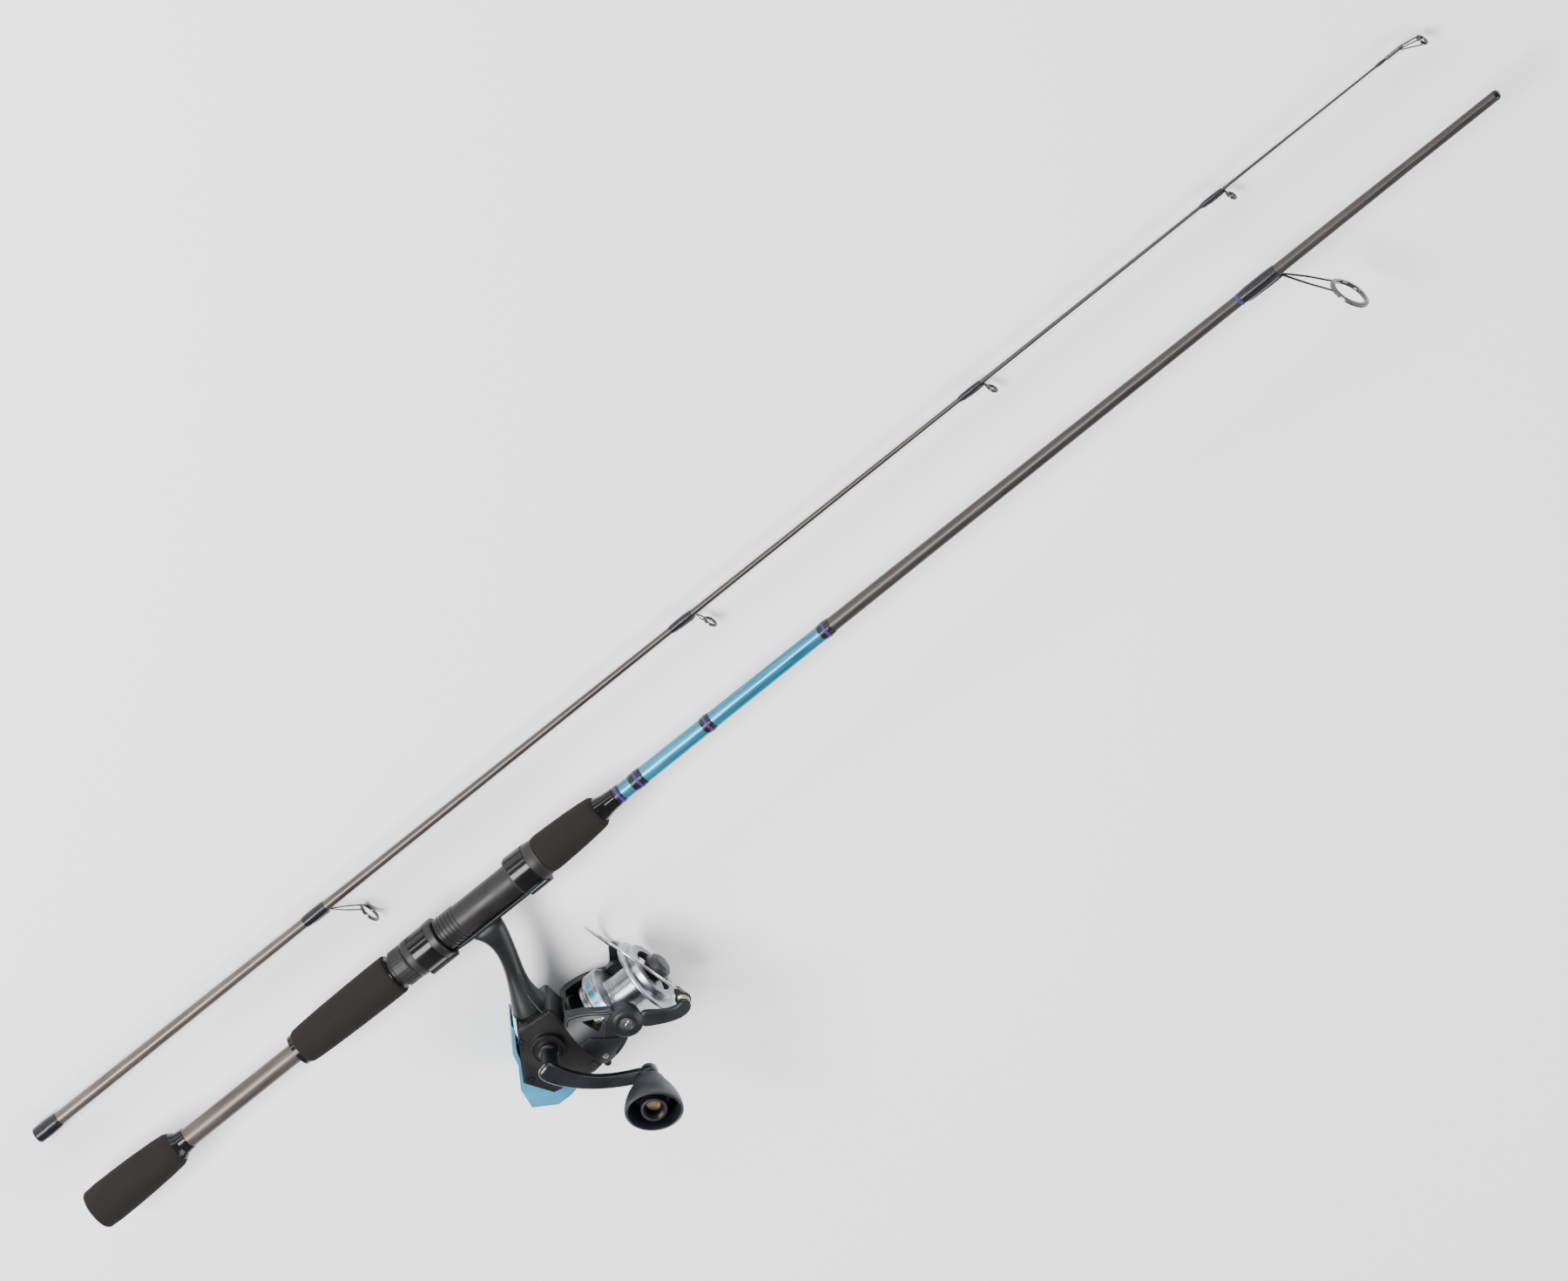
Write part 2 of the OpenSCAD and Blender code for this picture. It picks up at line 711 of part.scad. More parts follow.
module handle_arm() {
    color(BLACK)
        on_crank_axis()
            difference() {
                union() {
                    z_cylinder(boss_z + gap, arm_z0 + 0.01, 4.2);
                    z_cylinder(boss_z + gap, boss_z + 3, 5);
                    translate([0, 0, arm_z0]) linear_extrude(arm_t) crank_outline();
                }
                translate([knob_dx, knob_dy, 0]) z_cylinder(arm_z0 - 1, 60, 1.95);
                z_cylinder(0, 28, crank_r - 0.6);
            }
}

module drive_gear() {
    face = pinion_r + tooth_down;
    color(BRASS)
        on_crank_axis() {
            z_cylinder(-body_half + wall + 0.2, boss_z, crank_r);
            z_cylinder(boss_z - 0.01, 28, crank_r - 0.6);
            z_cylinder(face, 8.2, 4.6);
            z_cylinder(face, 5.6, gear_r + 0.8);
            z_cylinder(spur_z[1], -2.2, 3.4);
            translate([0, 0, spur_z[0]]) linear_extrude(spur_z[1] - spur_z[0]) gear2d(spur_n, spur_module, 0.78);
            // each tooth of the face gear lies along a tangent of the shaft-offset circle
            for (i = [0:gear_n - 1])
                rotate(i * 360 / gear_n)
                    translate([mesh_x - 0.8, -shaft_offset, 0])
                        rotate([90, 0, 90])
                            linear_extrude(1.6)
                                polygon([[-tooth_w * 0.8, face + 0.1], [-tooth_w / 2, pinion_r],
                                         [-tooth_w * 0.24, pinion_r - tooth_up], [tooth_w * 0.24, pinion_r - tooth_up],
                                         [tooth_w / 2, pinion_r], [tooth_w * 0.8, face + 0.1]]);
        }
}

module knob_spindle() {
    color(BRASS)
        translate([crank_x + knob_dx, crank_y + knob_dy, 0]) {
            z_cylinder(arm_z0, knob_z + knob_length - 9, 1.95);
            z_cylinder(knob_z + knob_length - 9, knob_z + knob_length - 7.4, 3.4);
        }
}

// the knob swells from a round neck to a broad oval end with a hollow round its spindle tube
module knob() {
    rings = [[0, 6.2, 6.2], [2, 7, 6.9], [8, 9, 8], [15, 11.6, 9.6], [22, 13.8, 10.8], [28, 15, 11.4], [knob_length, 14.6, 11]];
    color(BLACK)
        translate([crank_x + knob_dx, crank_y + knob_dy, knob_z])
            rotate(-38)
                difference() {
                    for (i = [0:len(rings) - 2])
                        hull()
                            for (k = [i, i + 1])
                                translate([0, 0, rings[k][0]])
                                    linear_extrude(0.01)
                                        polygon([for (a = [0:12:348]) [rings[k][1] * cos(a), rings[k][2] * sin(a)]]);
                    z_cylinder(-1, 40, 1.95 + run_fit);
                    z_cylinder(knob_length - 9.5, 50, 5);
                    difference() {
                        z_cylinder(knob_length - 16, 50, 9.4);
                        z_cylinder(knob_length - 17, 50, 7);
                    }
                }
}

module oscillation_gear() {
    color(BRASS)
        translate([osc_at[0], osc_at[1], 0]) {
            translate([0, 0, spur_z[0]])
                linear_extrude(spur_z[1] - spur_z[0])
                    difference() {
                        gear2d(osc_n, spur_module, 0.78, osc_shift);
                        circle(1.5 + run_fit);
                    }
            // the crank pin stops just short of the slider's slot
            translate([spool_stroke / 2 + 1, 0, 0]) z_cylinder(spur_z[1] - 0.01, -2.75, 0.9);
        }
}

// turns the gear so that a gap faces the tooth on the crank's own gear
osc_line = atan2(osc_dir[1], osc_dir[0]);
spur_lead = round(osc_line * spur_n / 360) * 360 / spur_n - osc_line;
osc_shift = osc_line + 180 - spur_lead * spur_n / osc_n + 180 / osc_n;

// --- rotor and bail ----------------------------------------------------------------------------
module arm_profile() {
    difference() {
        union() {
            polygon([[arm_x0, -15.5], [arm_x0, 15.5], [252, 18], [262, 15], [274, 8.6], [pivot_x, 0], [272, -8.6],
                     [258, -16]]);
            translate([pivot_x, 0]) circle(7.6);
        }
        polygon([[258, 12.2], [270, 7.2], [261.5, 3.6]]);
    }
}

module rotor() {
    color(BODY)
        on_spool_axis()
            difference() {
                union() {
                    x_ring(rotor_x, rotor_x + 1.8, rim_r - 0.5, shank_r + 0.1);
                    x_ring(rotor_x, 255, 5.4, shank_r + 0.1);
                    x_ring(arm_x0, 254.2, rim_r, rim_r - 1.5);
                    for (flip = [0, 180])
                        rotate([flip, 0, 0]) {
                            intersection() {
                                x_ring(arm_x0, 290, arm_out, arm_in);
                                linear_extrude(40) arm_profile();
                            }
                            intersection() {
                                x_ring(arm_x0, 252.5, arm_in + 0.2, rim_r - 0.8);
                                linear_extrude(40) arm_profile();
                            }
                            // round pad that carries the bail
                            translate([pivot_x, 0, 0]) z_cylinder(arm_in, bail_z - gap, 7.2);
                        }
                }
                // the pads stay clear of the spool's skirt
                x_cylinder(258, 290, arm_in - 0.3);
                translate([pivot_x, 0, -40]) cylinder(h = 80, r = 1.7);
            }
}

module rotor_nut() {
    color(BRASS)
        on_spool_axis()
            difference() {
                translate([255, 0, 0]) rotate([0, 90, 0]) cylinder(h = 2.2, r = 4.4, $fn = 6);
                x_cylinder(254, 258, 2.15);
            }
}

module pinion() {
    color(BRASS)
        on_spool_axis()
            difference() {
                union() {
                    x_cylinder(crank_x + mesh_x + 1.2, 246, 1.55);
                    x_cylinder(245.9, 257.6, shank_r);
                    translate([crank_x + mesh_x - 1.2, 0, 0])
                        rotate([90, 0, 90])
                            linear_extrude(2.7)
                                gear2d(pinion_n, tooth_module, tooth_w, 90 + 180 / pinion_n, 0.95);
                }
                x_cylinder(240, 260, main_r + run_fit);
            }
}

// a clipped-on cover over the near arm's root
module arm_cover() {
    color(BODY)
        on_spool_axis()
            intersection() {
                x_ring(arm_x0 + 0.5, 268, arm_out + 1, arm_out + 0.02);
                linear_extrude(40) polygon([[249.4, -14], [249.4, 4], [256, 4], [266.4, -5.5], [257, -14.5]]);
            }
}

module bail_arm() {
    color(BODY)
        on_bail_pivot()
            difference() {
                union() {
                    translate([0, 0, bail_z])
                        linear_extrude(bail_t) {
                            circle(bail_hub_r);
                            link2d([6, -3.5], 5, [19, -12.6], 3.8);
                            link2d([19, -12.6], 3.8, [tip_dx, tip_dy], 3.9);
                        }
                    z_cylinder(bail_z + bail_t - 0.01, bail_z + bail_t + 0.6, 5.6);
                }
                z_cylinder(bail_z + bail_t - 0.9, 40, 3.5);
                z_cylinder(0, 40, 1.7);
                translate([tip_dx, tip_dy, 0]) z_cylinder(0, bail_z + 2.4, 1.2);
            }
}

module roller_pin() {
    color(STEEL)
        on_bail_pivot()
            translate([tip_dx, tip_dy, 0]) z_cylinder(16.6, bail_z + 2.4, 1.2);
}

module line_roller() {
    color(BRASS)
        on_bail_pivot()
            translate([tip_dx, tip_dy, 0])
                rotate_extrude()
                    polygon([[1.24, 19.5], [3.4, 19.5], [3.4, 20], [2.5, 21], [2.5, 21.6], [3.4, 22.8], [3.4, 23.3],
                             [1.24, 23.3]]);
}

module bail_cap() {
    color(BLACK)
        on_bail_pivot()
            translate([tip_dx, tip_dy, 0])
                difference() {
                    union() {
                        rotate_extrude()
                            polygon([[0, 14.6], [2, 15], [3.2, 16.2], [4.1, 18.6], [4.1, 19.2], [0, 19.2]]);
                        // side lobe that grips the end of the wire
                        translate([0, 0, 15.4]) linear_extrude(3.4) link2d([0, 1], 2.6, [0.7, 5], 1.7);
                    }
                    z_cylinder(16.6, 20, 1.2);
                }
}

// the wire is an arc of the circle through its cap, its furthest point and the far arm
wire_u = wire_apex - wire_start;
wire_v = wire_end - wire_start;
wire_n = cross(wire_u, wire_v);
wire_centre = wire_start
    + (cross(wire_n, wire_u) * (wire_v * wire_v) + cross(wire_v, wire_n) * (wire_u * wire_u)) / (2 * (wire_n * wire_n));
wire_bend = norm(wire_start - wire_centre);
wire_axis = wire_n / norm(wire_n);
wire_tilt = acos(wire_axis[2]);
wire_turn = atan2(wire_axis[1], wire_axis[0]);

// a point seen in the arc's own plane, and its angle there
function in_plane(p) =
    let (d = p - wire_centre,
         a = [d[0] * cos(wire_turn) + d[1] * sin(wire_turn), -d[0] * sin(wire_turn) + d[1] * cos(wire_turn), d[2]])
    [a[0] * cos(wire_tilt) - a[2] * sin(wire_tilt), a[1]];
function plane_angle(p) = let (q = in_plane(p)) atan2(q[1], q[0]);
wire_from = plane_angle(wire_start);
wire_sweep = (plane_angle(wire_end) - wire_from + 720) % 360;

module bail_wire() {
    color(STEEL)
        on_bail_pivot()
            translate(wire_centre)
                rotate([0, wire_tilt, wire_turn])
                    rotate(wire_from)
                        rotate_extrude(angle = wire_sweep)
                            translate([wire_bend, 0]) circle(wire_r, $fn = 24);
}

module far_bail_arm() {
    color(BODY)
        on_bail_pivot()
            difference() {
                translate([0, 0, -bail_z - 2.6])
                    linear_extrude(2.6)
                        link2d([0, 0], 6.4, [wire_end[0], wire_end[1]], 2.2);
                z_cylinder(-40, 0, 1.7);
                z_cylinder(-40, -bail_z - 1.8, 3.4);
            }
}

module bail_screws() {
    color(SILVER)
        on_bail_pivot() {
            difference() {
                union() {
                    z_cylinder(20.5, bail_z + bail_t - 0.9, 1.66);
                    z_cylinder(bail_z + bail_t - 0.9, bail_z + bail_t + 0.5, 3.3);
                }
                for (turn = [20, 110]) rotate(turn) translate([-2, -0.35, bail_z + bail_t - 0.2]) cube([4, 0.7, 2]);
            }
            z_cylinder(-bail_z - 1.8, -20.5, 1.66);
            z_cylinder(-bail_z - 2.6, -bail_z - 1.8, 3.2);
        }
}

// --- spool and drag ----------------------------------------------------------------------------
module main_shaft() {
    color(STEEL) on_spool_axis() x_cylinder(226, 302.5, main_r);
}

module slider_block() {
    color(BRASS)
        on_spool_axis()
            difference() {
                translate([227.5, -10, -2.4]) cube([6.5, 14, 3.8]);
                x_cylinder(220, 240, main_r);
                translate([0, -8, 0]) x_cylinder(220, 240, 0.8 + run_fit);
                translate([229.6, -5.5, -3]) cube([2.2, 9, 1.2]);
            }
}

module spool() {
    color(SILVER)
        on_spool_axis()
            difference() {
                turned([
                    [260.8, 15.9], [265, 16.2], [265.4, 18.8], [266.2, 19.1], [272.2, 19.1], [273, 18.6],
                    [273.6, 10.9], [274.6, 10.5], [287.4, 10.5], [288.4, 11], [290.6, 19.8], [291.4, lip_r],
                    [292.6, lip_r], [293.2, 17]
                ], [
                    [293.2, 12.6], [286.5, 9.2], [286.5, 0], [269.5, 0], [269.5, 4], [284, 4.5], [284, 8.8],
                    [274.5, 9], [271.5, 15], [260.8, 15]
                ]);
                x_cylinder(250, 300, main_r + run_fit);
            }
}

module spool_rim() {
    color(SILVER)
        on_spool_axis()
            turned([[293.2, 16.4], [296.4, 16.4], [297, 15.8]], [[297, 12], [293.2, 12.4]]);
}

// felt and steel washers in turn, under the knob
module drag_washers() {
    color(STEEL)
        on_spool_axis()
            for (i = [0:4])
                x_ring(286.6 + i * 1.1, 286.6 + i * 1.1 + (i % 2 == 0 ? 1 : 0.8), i % 2 == 0 ? 8.8 : 8.4, main_r + 0.3);
}

module drag_spring() {
    color(STEEL)
        on_spool_axis()
            for (i = [0:2])
                translate([293 + i * 1.1, 0, 0])
                    rotate([0, 90, 0])
                        rotate_extrude()
                            translate([2.9, 0]) circle(0.4, $fn = 16);
}

module drag_knob() {
    lobes = 12;
    color(BLACK)
        on_spool_axis()
            difference() {
                turned([[292.5, 5.4], [297.5, 5.4], [297.6, 7.2], [299, 7.3], [302.5, 6.6], [304, 4.6], [304.2, 0]],
                       [[292.5, 0]]);
                x_cylinder(290, 302.6, main_r + run_fit);
                x_cylinder(292, 296.6, 3.6);
                for (i = [0:lobes - 1])
                    rotate([i * 360 / lobes, 0, 0])
                        translate([297.5, 0, 7.9]) x_cylinder(0, 8, 1);
            }
}

butt_blank();
spigot_plug();
rear_grip();
rear_grip_check();
middle_grip();
middle_grip_rings();
seat_body();
seat_front_band();
fore_grip();
fore_grip_check();
blue_sleeve();
butt_wraps();
trim_bands();
butt_guide_frame();
butt_guide_ring();
sliding_hood();
hood_band();
lock_nut();
tip_blank();
ferrule_wrap();
tip_guide_frames();
tip_guide_rings();
tip_wraps();
tip_top_frame();
tip_top_ring();
reel_body();
side_cover();
rear_cover();
side_cap();
body_screws();
crank_bearings();
pinion_bearing();
one_way_clutch();
slider_guide_rod();
anti_reverse_lever();
handle_arm();
drive_gear();
knob_spindle();
knob();
oscillation_gear();
rotor();
rotor_nut();
pinion();
arm_cover();
bail_arm();
bail_cap();
bail_wire();
far_bail_arm();
bail_screws();
roller_pin();
line_roller();
main_shaft();
slider_block();
spool();
spool_rim();
drag_washers();
drag_knob();
drag_spring();
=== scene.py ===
# %% [markdown]
# # Spinning rod and reel
# The rod lies in two sections side by side, and a small fixed-spool reel hangs in its seat.
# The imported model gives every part's place and its joints. This lesson gives the parts the
# shapes and finishes of the real ones: foam grips, satin graphite blank, blue lacquer,
# thread wraps under clear varnish, moulded plastic, machined aluminium and bright steel.

# %% Load the frame
import math

import bpy
from mathutils import Matrix, Vector


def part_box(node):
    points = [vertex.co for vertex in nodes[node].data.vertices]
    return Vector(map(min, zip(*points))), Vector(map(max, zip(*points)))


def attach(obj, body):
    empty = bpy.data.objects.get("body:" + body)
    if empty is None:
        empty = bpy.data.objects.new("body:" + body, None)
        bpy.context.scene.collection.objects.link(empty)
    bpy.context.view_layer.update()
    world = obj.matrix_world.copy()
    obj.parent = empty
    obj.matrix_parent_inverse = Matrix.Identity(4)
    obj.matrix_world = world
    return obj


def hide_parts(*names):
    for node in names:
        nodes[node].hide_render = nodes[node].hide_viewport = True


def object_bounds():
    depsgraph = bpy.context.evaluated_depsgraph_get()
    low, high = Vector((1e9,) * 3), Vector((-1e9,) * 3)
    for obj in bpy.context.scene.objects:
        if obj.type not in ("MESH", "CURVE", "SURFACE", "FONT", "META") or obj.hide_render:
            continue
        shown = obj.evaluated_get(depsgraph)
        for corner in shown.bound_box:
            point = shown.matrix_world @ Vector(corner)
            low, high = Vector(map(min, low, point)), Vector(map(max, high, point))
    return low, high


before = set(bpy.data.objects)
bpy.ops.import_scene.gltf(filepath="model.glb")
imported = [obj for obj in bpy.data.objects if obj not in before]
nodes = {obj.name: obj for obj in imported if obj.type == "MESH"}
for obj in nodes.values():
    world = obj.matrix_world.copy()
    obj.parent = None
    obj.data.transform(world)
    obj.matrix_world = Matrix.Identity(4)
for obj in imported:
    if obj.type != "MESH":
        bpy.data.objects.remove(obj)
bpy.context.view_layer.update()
MM = 0.001

# %% [markdown]
# ## Where things are
# The butt section lies along X with its axis at Y = Z = 0. The tip section lies beside it.
# The reel's spool and rotor turn about a line below the rod, and the crank crosses that line.
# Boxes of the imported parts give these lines, so nothing has to be fitted by eye.

# %% Lines that the pieces are built about
def middle(node):
    low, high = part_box(node)
    return (Vector(low) + Vector(high)) / 2


shaft_line = middle("main_shaft")
spool_y = shaft_line.y / MM
tip_line = middle("ferrule_wrap")
tip_y, tip_z = tip_line.y / MM, tip_line.z / MM
crank_line = middle("side_cap")
crank_x, crank_y = crank_line.x / MM, crank_line.y / MM
floor_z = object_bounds()[0].z
print("spool line y", round(spool_y, 2), "tip line", round(tip_y, 2), round(tip_z, 2), "crank", crank_x, crank_y)

# %% [markdown]
# ## Camera and light
# The rod is long and thin, so a long lens keeps both ends in true proportion. The camera looks
# down at the crank side of the reel and is rolled, so that the rod runs from lower left to
# upper right. A pale floor and large soft lights give the even look of a studio table, and
# one long narrow light draws the bright line that a round satin tube shows.

# %% Camera
look_right = Vector((0.7460, -0.6624, 0.0714)).normalized()
look_up = Vector((0.5948, 0.6141, -0.5196)).normalized()
look_back = look_right.cross(look_up).normalized()
look_up = look_back.cross(look_right).normalized()
target = Vector((0.4729, 0.0093, -0.0009))
distance = 15.0          # far back, so the rod keeps an even scale from end to end
seen_width = 0.7831
camera = bpy.data.objects.new("camera", bpy.data.cameras.new("camera"))
bpy.context.scene.collection.objects.link(camera)
turn = Matrix((look_right, look_up, look_back)).transposed()
camera.matrix_world = Matrix.Translation(target + look_back * distance) @ turn.to_4x4()
camera.data.sensor_width = 36.0
camera.data.lens = camera.data.sensor_width * distance / seen_width
camera.data.clip_end = 60.0
bpy.context.scene.camera = camera
print("lens", round(camera.data.lens, 1), "mm")


# %% [markdown]
# ## Light and floor
# The parts are mostly black, so they need large soft lights to show their edges, and a weak even
# sky so that black stays black. One large lamp gives the main shine along the rod, and two smaller
# ones open the shadows. The floor is plain white paper just under the lowest part.

# %% World, lights and floor
def soft_light(name, place, size, power, aim=(0.45, -0.02, 0.0), colour=(1.0, 1.0, 1.0)):
    lamp = bpy.data.lights.new(name, "AREA")
    lamp.shape = "RECTANGLE"
    lamp.size, lamp.size_y = size
    lamp.energy = power
    lamp.color = colour
    holder = bpy.data.objects.new(name, lamp)
    holder.location = place
    holder.rotation_mode = "QUATERNION"
    holder.rotation_quaternion = (Vector(aim) - Vector(place)).to_track_quat("-Z", "Y")
    bpy.context.scene.collection.objects.link(holder)
    return holder


world = bpy.data.worlds.new("studio")
world.use_nodes = True
world.node_tree.nodes["Background"].inputs["Color"].default_value = (0.93, 0.95, 1.0, 1.0)
world.node_tree.nodes["Background"].inputs["Strength"].default_value = 0.5
bpy.context.scene.world = world
soft_light("key_light", (-0.5, 0.9, 1.7), (1.4, 0.7), 88.0)
soft_light("fill_light", (1.3, -1.3, 1.3), (1.2, 1.2), 30.0)
soft_light("rim_light", (0.45, 1.5, 0.55), (2.4, 0.25), 16.0)
print("lights set")


def clear_selection():
    if bpy.context.object and bpy.context.object.mode != "OBJECT":
        bpy.ops.object.mode_set(mode="OBJECT")
    bpy.ops.object.select_all(action="DESELECT")


clear_selection()
bpy.ops.mesh.primitive_plane_add(size=14.0, location=(0.45, 0.0, floor_z - 0.0002))
studio_floor = bpy.context.active_object
studio_floor.name = "studio_floor"
paper = bpy.data.materials.new("white_paper")
paper.use_nodes = True
paper.node_tree.nodes["Principled BSDF"].inputs["Base Color"].default_value = (1.0, 1.0, 1.0, 1.0)
paper.node_tree.nodes["Principled BSDF"].inputs["Roughness"].default_value = 0.95
paper.node_tree.nodes["Principled BSDF"].inputs["Specular IOR Level"].default_value = 0.1
studio_floor.data.materials.append(paper)

# %% [markdown]
# ## Shared surface effects
# Each effect is a node group: it reads the object's own coordinates and puts out a mask and a
# height. `moulded_skin` is the fine sparkle of moulded plastic, `foam_cells` the closed cells of
# a foam grip, `long_streaks` the pull of lacquer or a brush along a part, `thread_turns` the
# turns of wrapping thread, and `tool_rings` the rings that a lathe tool leaves.

# %% Node group helper
def effect(name, inputs, build):
    """A group with number inputs and the outputs Mask and Height."""
    group = bpy.data.node_groups.new(name, "ShaderNodeTree")
    for label, value in inputs.items():
        socket = group.interface.new_socket(label, in_out="INPUT", socket_type="NodeSocketFloat")
        socket.default_value = value
    for label in ("Mask", "Height"):
        group.interface.new_socket(label, in_out="OUTPUT", socket_type="NodeSocketFloat")
    entry = group.nodes.new("NodeGroupInput")
    way_out = group.nodes.new("NodeGroupOutput")
    place = group.nodes.new("ShaderNodeTexCoord").outputs["Object"]
    mask, height = build(group, entry.outputs, place)
    group.links.new(mask, way_out.inputs["Mask"])
    group.links.new(height, way_out.inputs["Height"])
    return group


def arithmetic(tree, operation, first, second=None):
    node = tree.nodes.new("ShaderNodeMath")
    node.operation = operation
    for socket, value in zip(node.inputs, (first, second)):
        if value is None:
            continue
        if isinstance(value, (int, float)):
            socket.default_value = value
        else:
            tree.links.new(value, socket)
    return node.outputs[0]


def spread(tree, value, low, high, new_low=0.0, new_high=1.0):
    node = tree.nodes.new("ShaderNodeMapRange")
    tree.links.new(value, node.inputs["Value"])
    for label, number in (("From Min", low), ("From Max", high), ("To Min", new_low), ("To Max", new_high)):
        if isinstance(number, (int, float)):
            node.inputs[label].default_value = number
        else:
            tree.links.new(number, node.inputs[label])
    return node.outputs["Result"]


def noise(tree, vector, scale, detail=3.0, rough=0.55):
    node = tree.nodes.new("ShaderNodeTexNoise")
    tree.links.new(vector, node.inputs["Vector"])
    if isinstance(scale, (int, float)):
        node.inputs["Scale"].default_value = scale
    else:
        tree.links.new(scale, node.inputs["Scale"])
    node.inputs["Detail"].default_value = detail
    node.inputs["Roughness"].default_value = rough
    return node.outputs["Fac"]


def stretched(tree, vector, factors):
    node = tree.nodes.new("ShaderNodeMapping")
    tree.links.new(vector, node.inputs["Vector"])
    node.inputs["Scale"].default_value = factors
    return node.outputs["Vector"]


# %% [markdown]
# ## Building the effects
# Each group is made once from noise and wave-like terms and then placed in many finishes with its
# own values. Working in the object's own coordinates keeps the pattern fixed when a joint moves.

# %% The effects
def build_moulded_skin(tree, given, place):
    fine = noise(tree, place, given["Grain"], 2.0)
    broad = noise(tree, place, given["Clouds"], 3.0)
    mask = spread(tree, broad, 0.35, 0.65)
    return mask, arithmetic(tree, "ADD", fine, arithmetic(tree, "MULTIPLY", broad, 0.3))


def weighted_sum(tree, first, first_share, second, second_share):
    return arithmetic(tree, "ADD", arithmetic(tree, "MULTIPLY", first, first_share),
                      arithmetic(tree, "MULTIPLY", second, second_share))


def build_foam_cells(tree, given, place):
    cells = tree.nodes.new("ShaderNodeTexVoronoi")
    cells.feature = "F1"
    tree.links.new(place, cells.inputs["Vector"])
    tree.links.new(given["Cells"], cells.inputs["Scale"])
    broad = noise(tree, place, given["Clouds"], 4.0)
    pits = spread(tree, cells.outputs["Distance"], 0.1, 0.6)
    mixed = weighted_sum(tree, pits, 0.55, broad, 0.45)
    return spread(tree, mixed, 0.25, 0.75), arithmetic(tree, "ADD", pits, noise(tree, place, 2600.0, 2.0))


def build_long_streaks(tree, given, place):
    pulled = stretched(tree, place, (0.035, 1.0, 1.0))
    strands = noise(tree, pulled, given["Strands"], 3.0, 0.6)
    broad = noise(tree, stretched(tree, place, (0.25, 1.0, 1.0)), given["Clouds"], 2.0)
    mixed = weighted_sum(tree, strands, 0.65, broad, 0.35)
    return spread(tree, mixed, 0.36, 0.64), strands


def build_thread_turns(tree, given, place):
    split = tree.nodes.new("ShaderNodeSeparateXYZ")
    tree.links.new(place, split.inputs[0])
    turns = arithmetic(tree, "MULTIPLY", split.outputs["X"], given["Turns"])
    ridge = arithmetic(tree, "ABSOLUTE", arithmetic(tree, "SINE", turns))
    broad = noise(tree, place, given["Clouds"], 3.0)
    mixed = weighted_sum(tree, ridge, 0.6, broad, 0.4)
    return spread(tree, mixed, 0.3, 0.9), ridge


def build_tool_rings(tree, given, place):
    pulled = stretched(tree, place, (1.0, 0.02, 0.02))
    lines = noise(tree, pulled, given["Rings"], 2.0, 0.7)
    broad = noise(tree, place, given["Clouds"], 3.0)
    mixed = weighted_sum(tree, lines, 0.7, broad, 0.3)
    return spread(tree, mixed, 0.35, 0.65), lines


moulded_skin = effect("moulded_skin", {"Grain": 2200.0, "Clouds": 60.0}, build_moulded_skin)
foam_cells = effect("foam_cells", {"Cells": 1100.0, "Clouds": 120.0}, build_foam_cells)
long_streaks = effect("long_streaks", {"Strands": 1500.0, "Clouds": 90.0}, build_long_streaks)
thread_turns = effect("thread_turns", {"Turns": 16000.0, "Clouds": 300.0}, build_thread_turns)
tool_rings = effect("tool_rings", {"Rings": 3000.0, "Clouds": 80.0}, build_tool_rings)
print("effects:", [g.name for g in bpy.data.node_groups])

# %% [markdown]
# ## Finishes
# A finish mixes a darker and a lighter tone by the effect's mask, moves the roughness a little
# between two values, and turns the height into a small bump. What is the same all over, such as
# how metallic it is or how thick its varnish is, stays on the shader's own sockets. A bevel
# node rounds the sharp edges of the moulded parts, so they catch a thin line of light.

# %% Finish builder
def finish(name, dark, light, rough, group, given=None, bump=0.15, bump_mm=0.02, metal=0.0, coat=0.0,
           coat_rough=0.08, edge_mm=0.0, spec=0.5):
    material = bpy.data.materials.new(name)
    material.use_nodes = True
    tree = material.node_tree
    shader = tree.nodes["Principled BSDF"]
    pattern = tree.nodes.new("ShaderNodeGroup")
    pattern.node_tree = group
    for label, value in (given or {}).items():
        pattern.inputs[label].default_value = value
    tones = tree.nodes.new("ShaderNodeMix")
    tones.data_type = "RGBA"
    tones.inputs["A"].default_value = (*dark, 1.0)
    tones.inputs["B"].default_value = (*light, 1.0)
    tree.links.new(pattern.outputs["Mask"], tones.inputs["Factor"])
    tree.links.new(tones.outputs["Result"], shader.inputs["Base Color"])
    tree.links.new(spread(tree, pattern.outputs["Mask"], 0.0, 1.0, rough[0], rough[1]), shader.inputs["Roughness"])
    relief = tree.nodes.new("ShaderNodeBump")
    relief.inputs["Strength"].default_value = bump
    relief.inputs["Distance"].default_value = bump_mm * MM
    tree.links.new(pattern.outputs["Height"], relief.inputs["Height"])
    if edge_mm:
        edge = tree.nodes.new("ShaderNodeBevel")
        edge.samples = 4
        edge.inputs["Radius"].default_value = edge_mm * MM
        tree.links.new(edge.outputs["Normal"], relief.inputs["Normal"])
    tree.links.new(relief.outputs["Normal"], shader.inputs["Normal"])
    shader.inputs["Metallic"].default_value = metal
    shader.inputs["Coat Weight"].default_value = coat
    shader.inputs["Coat Roughness"].default_value = coat_rough
    shader.inputs["Specular IOR Level"].default_value = spec
    return material


# %% [markdown]
# ## Finishes of the rod
# The blank is graphite under thin clear coat, the grips are closed-cell foam, the seat is moulded
# nylon, and the wraps are thread under epoxy. Each has a dark and a light tone that its effect
# mixes, and a range of roughness, so no surface is one flat colour.

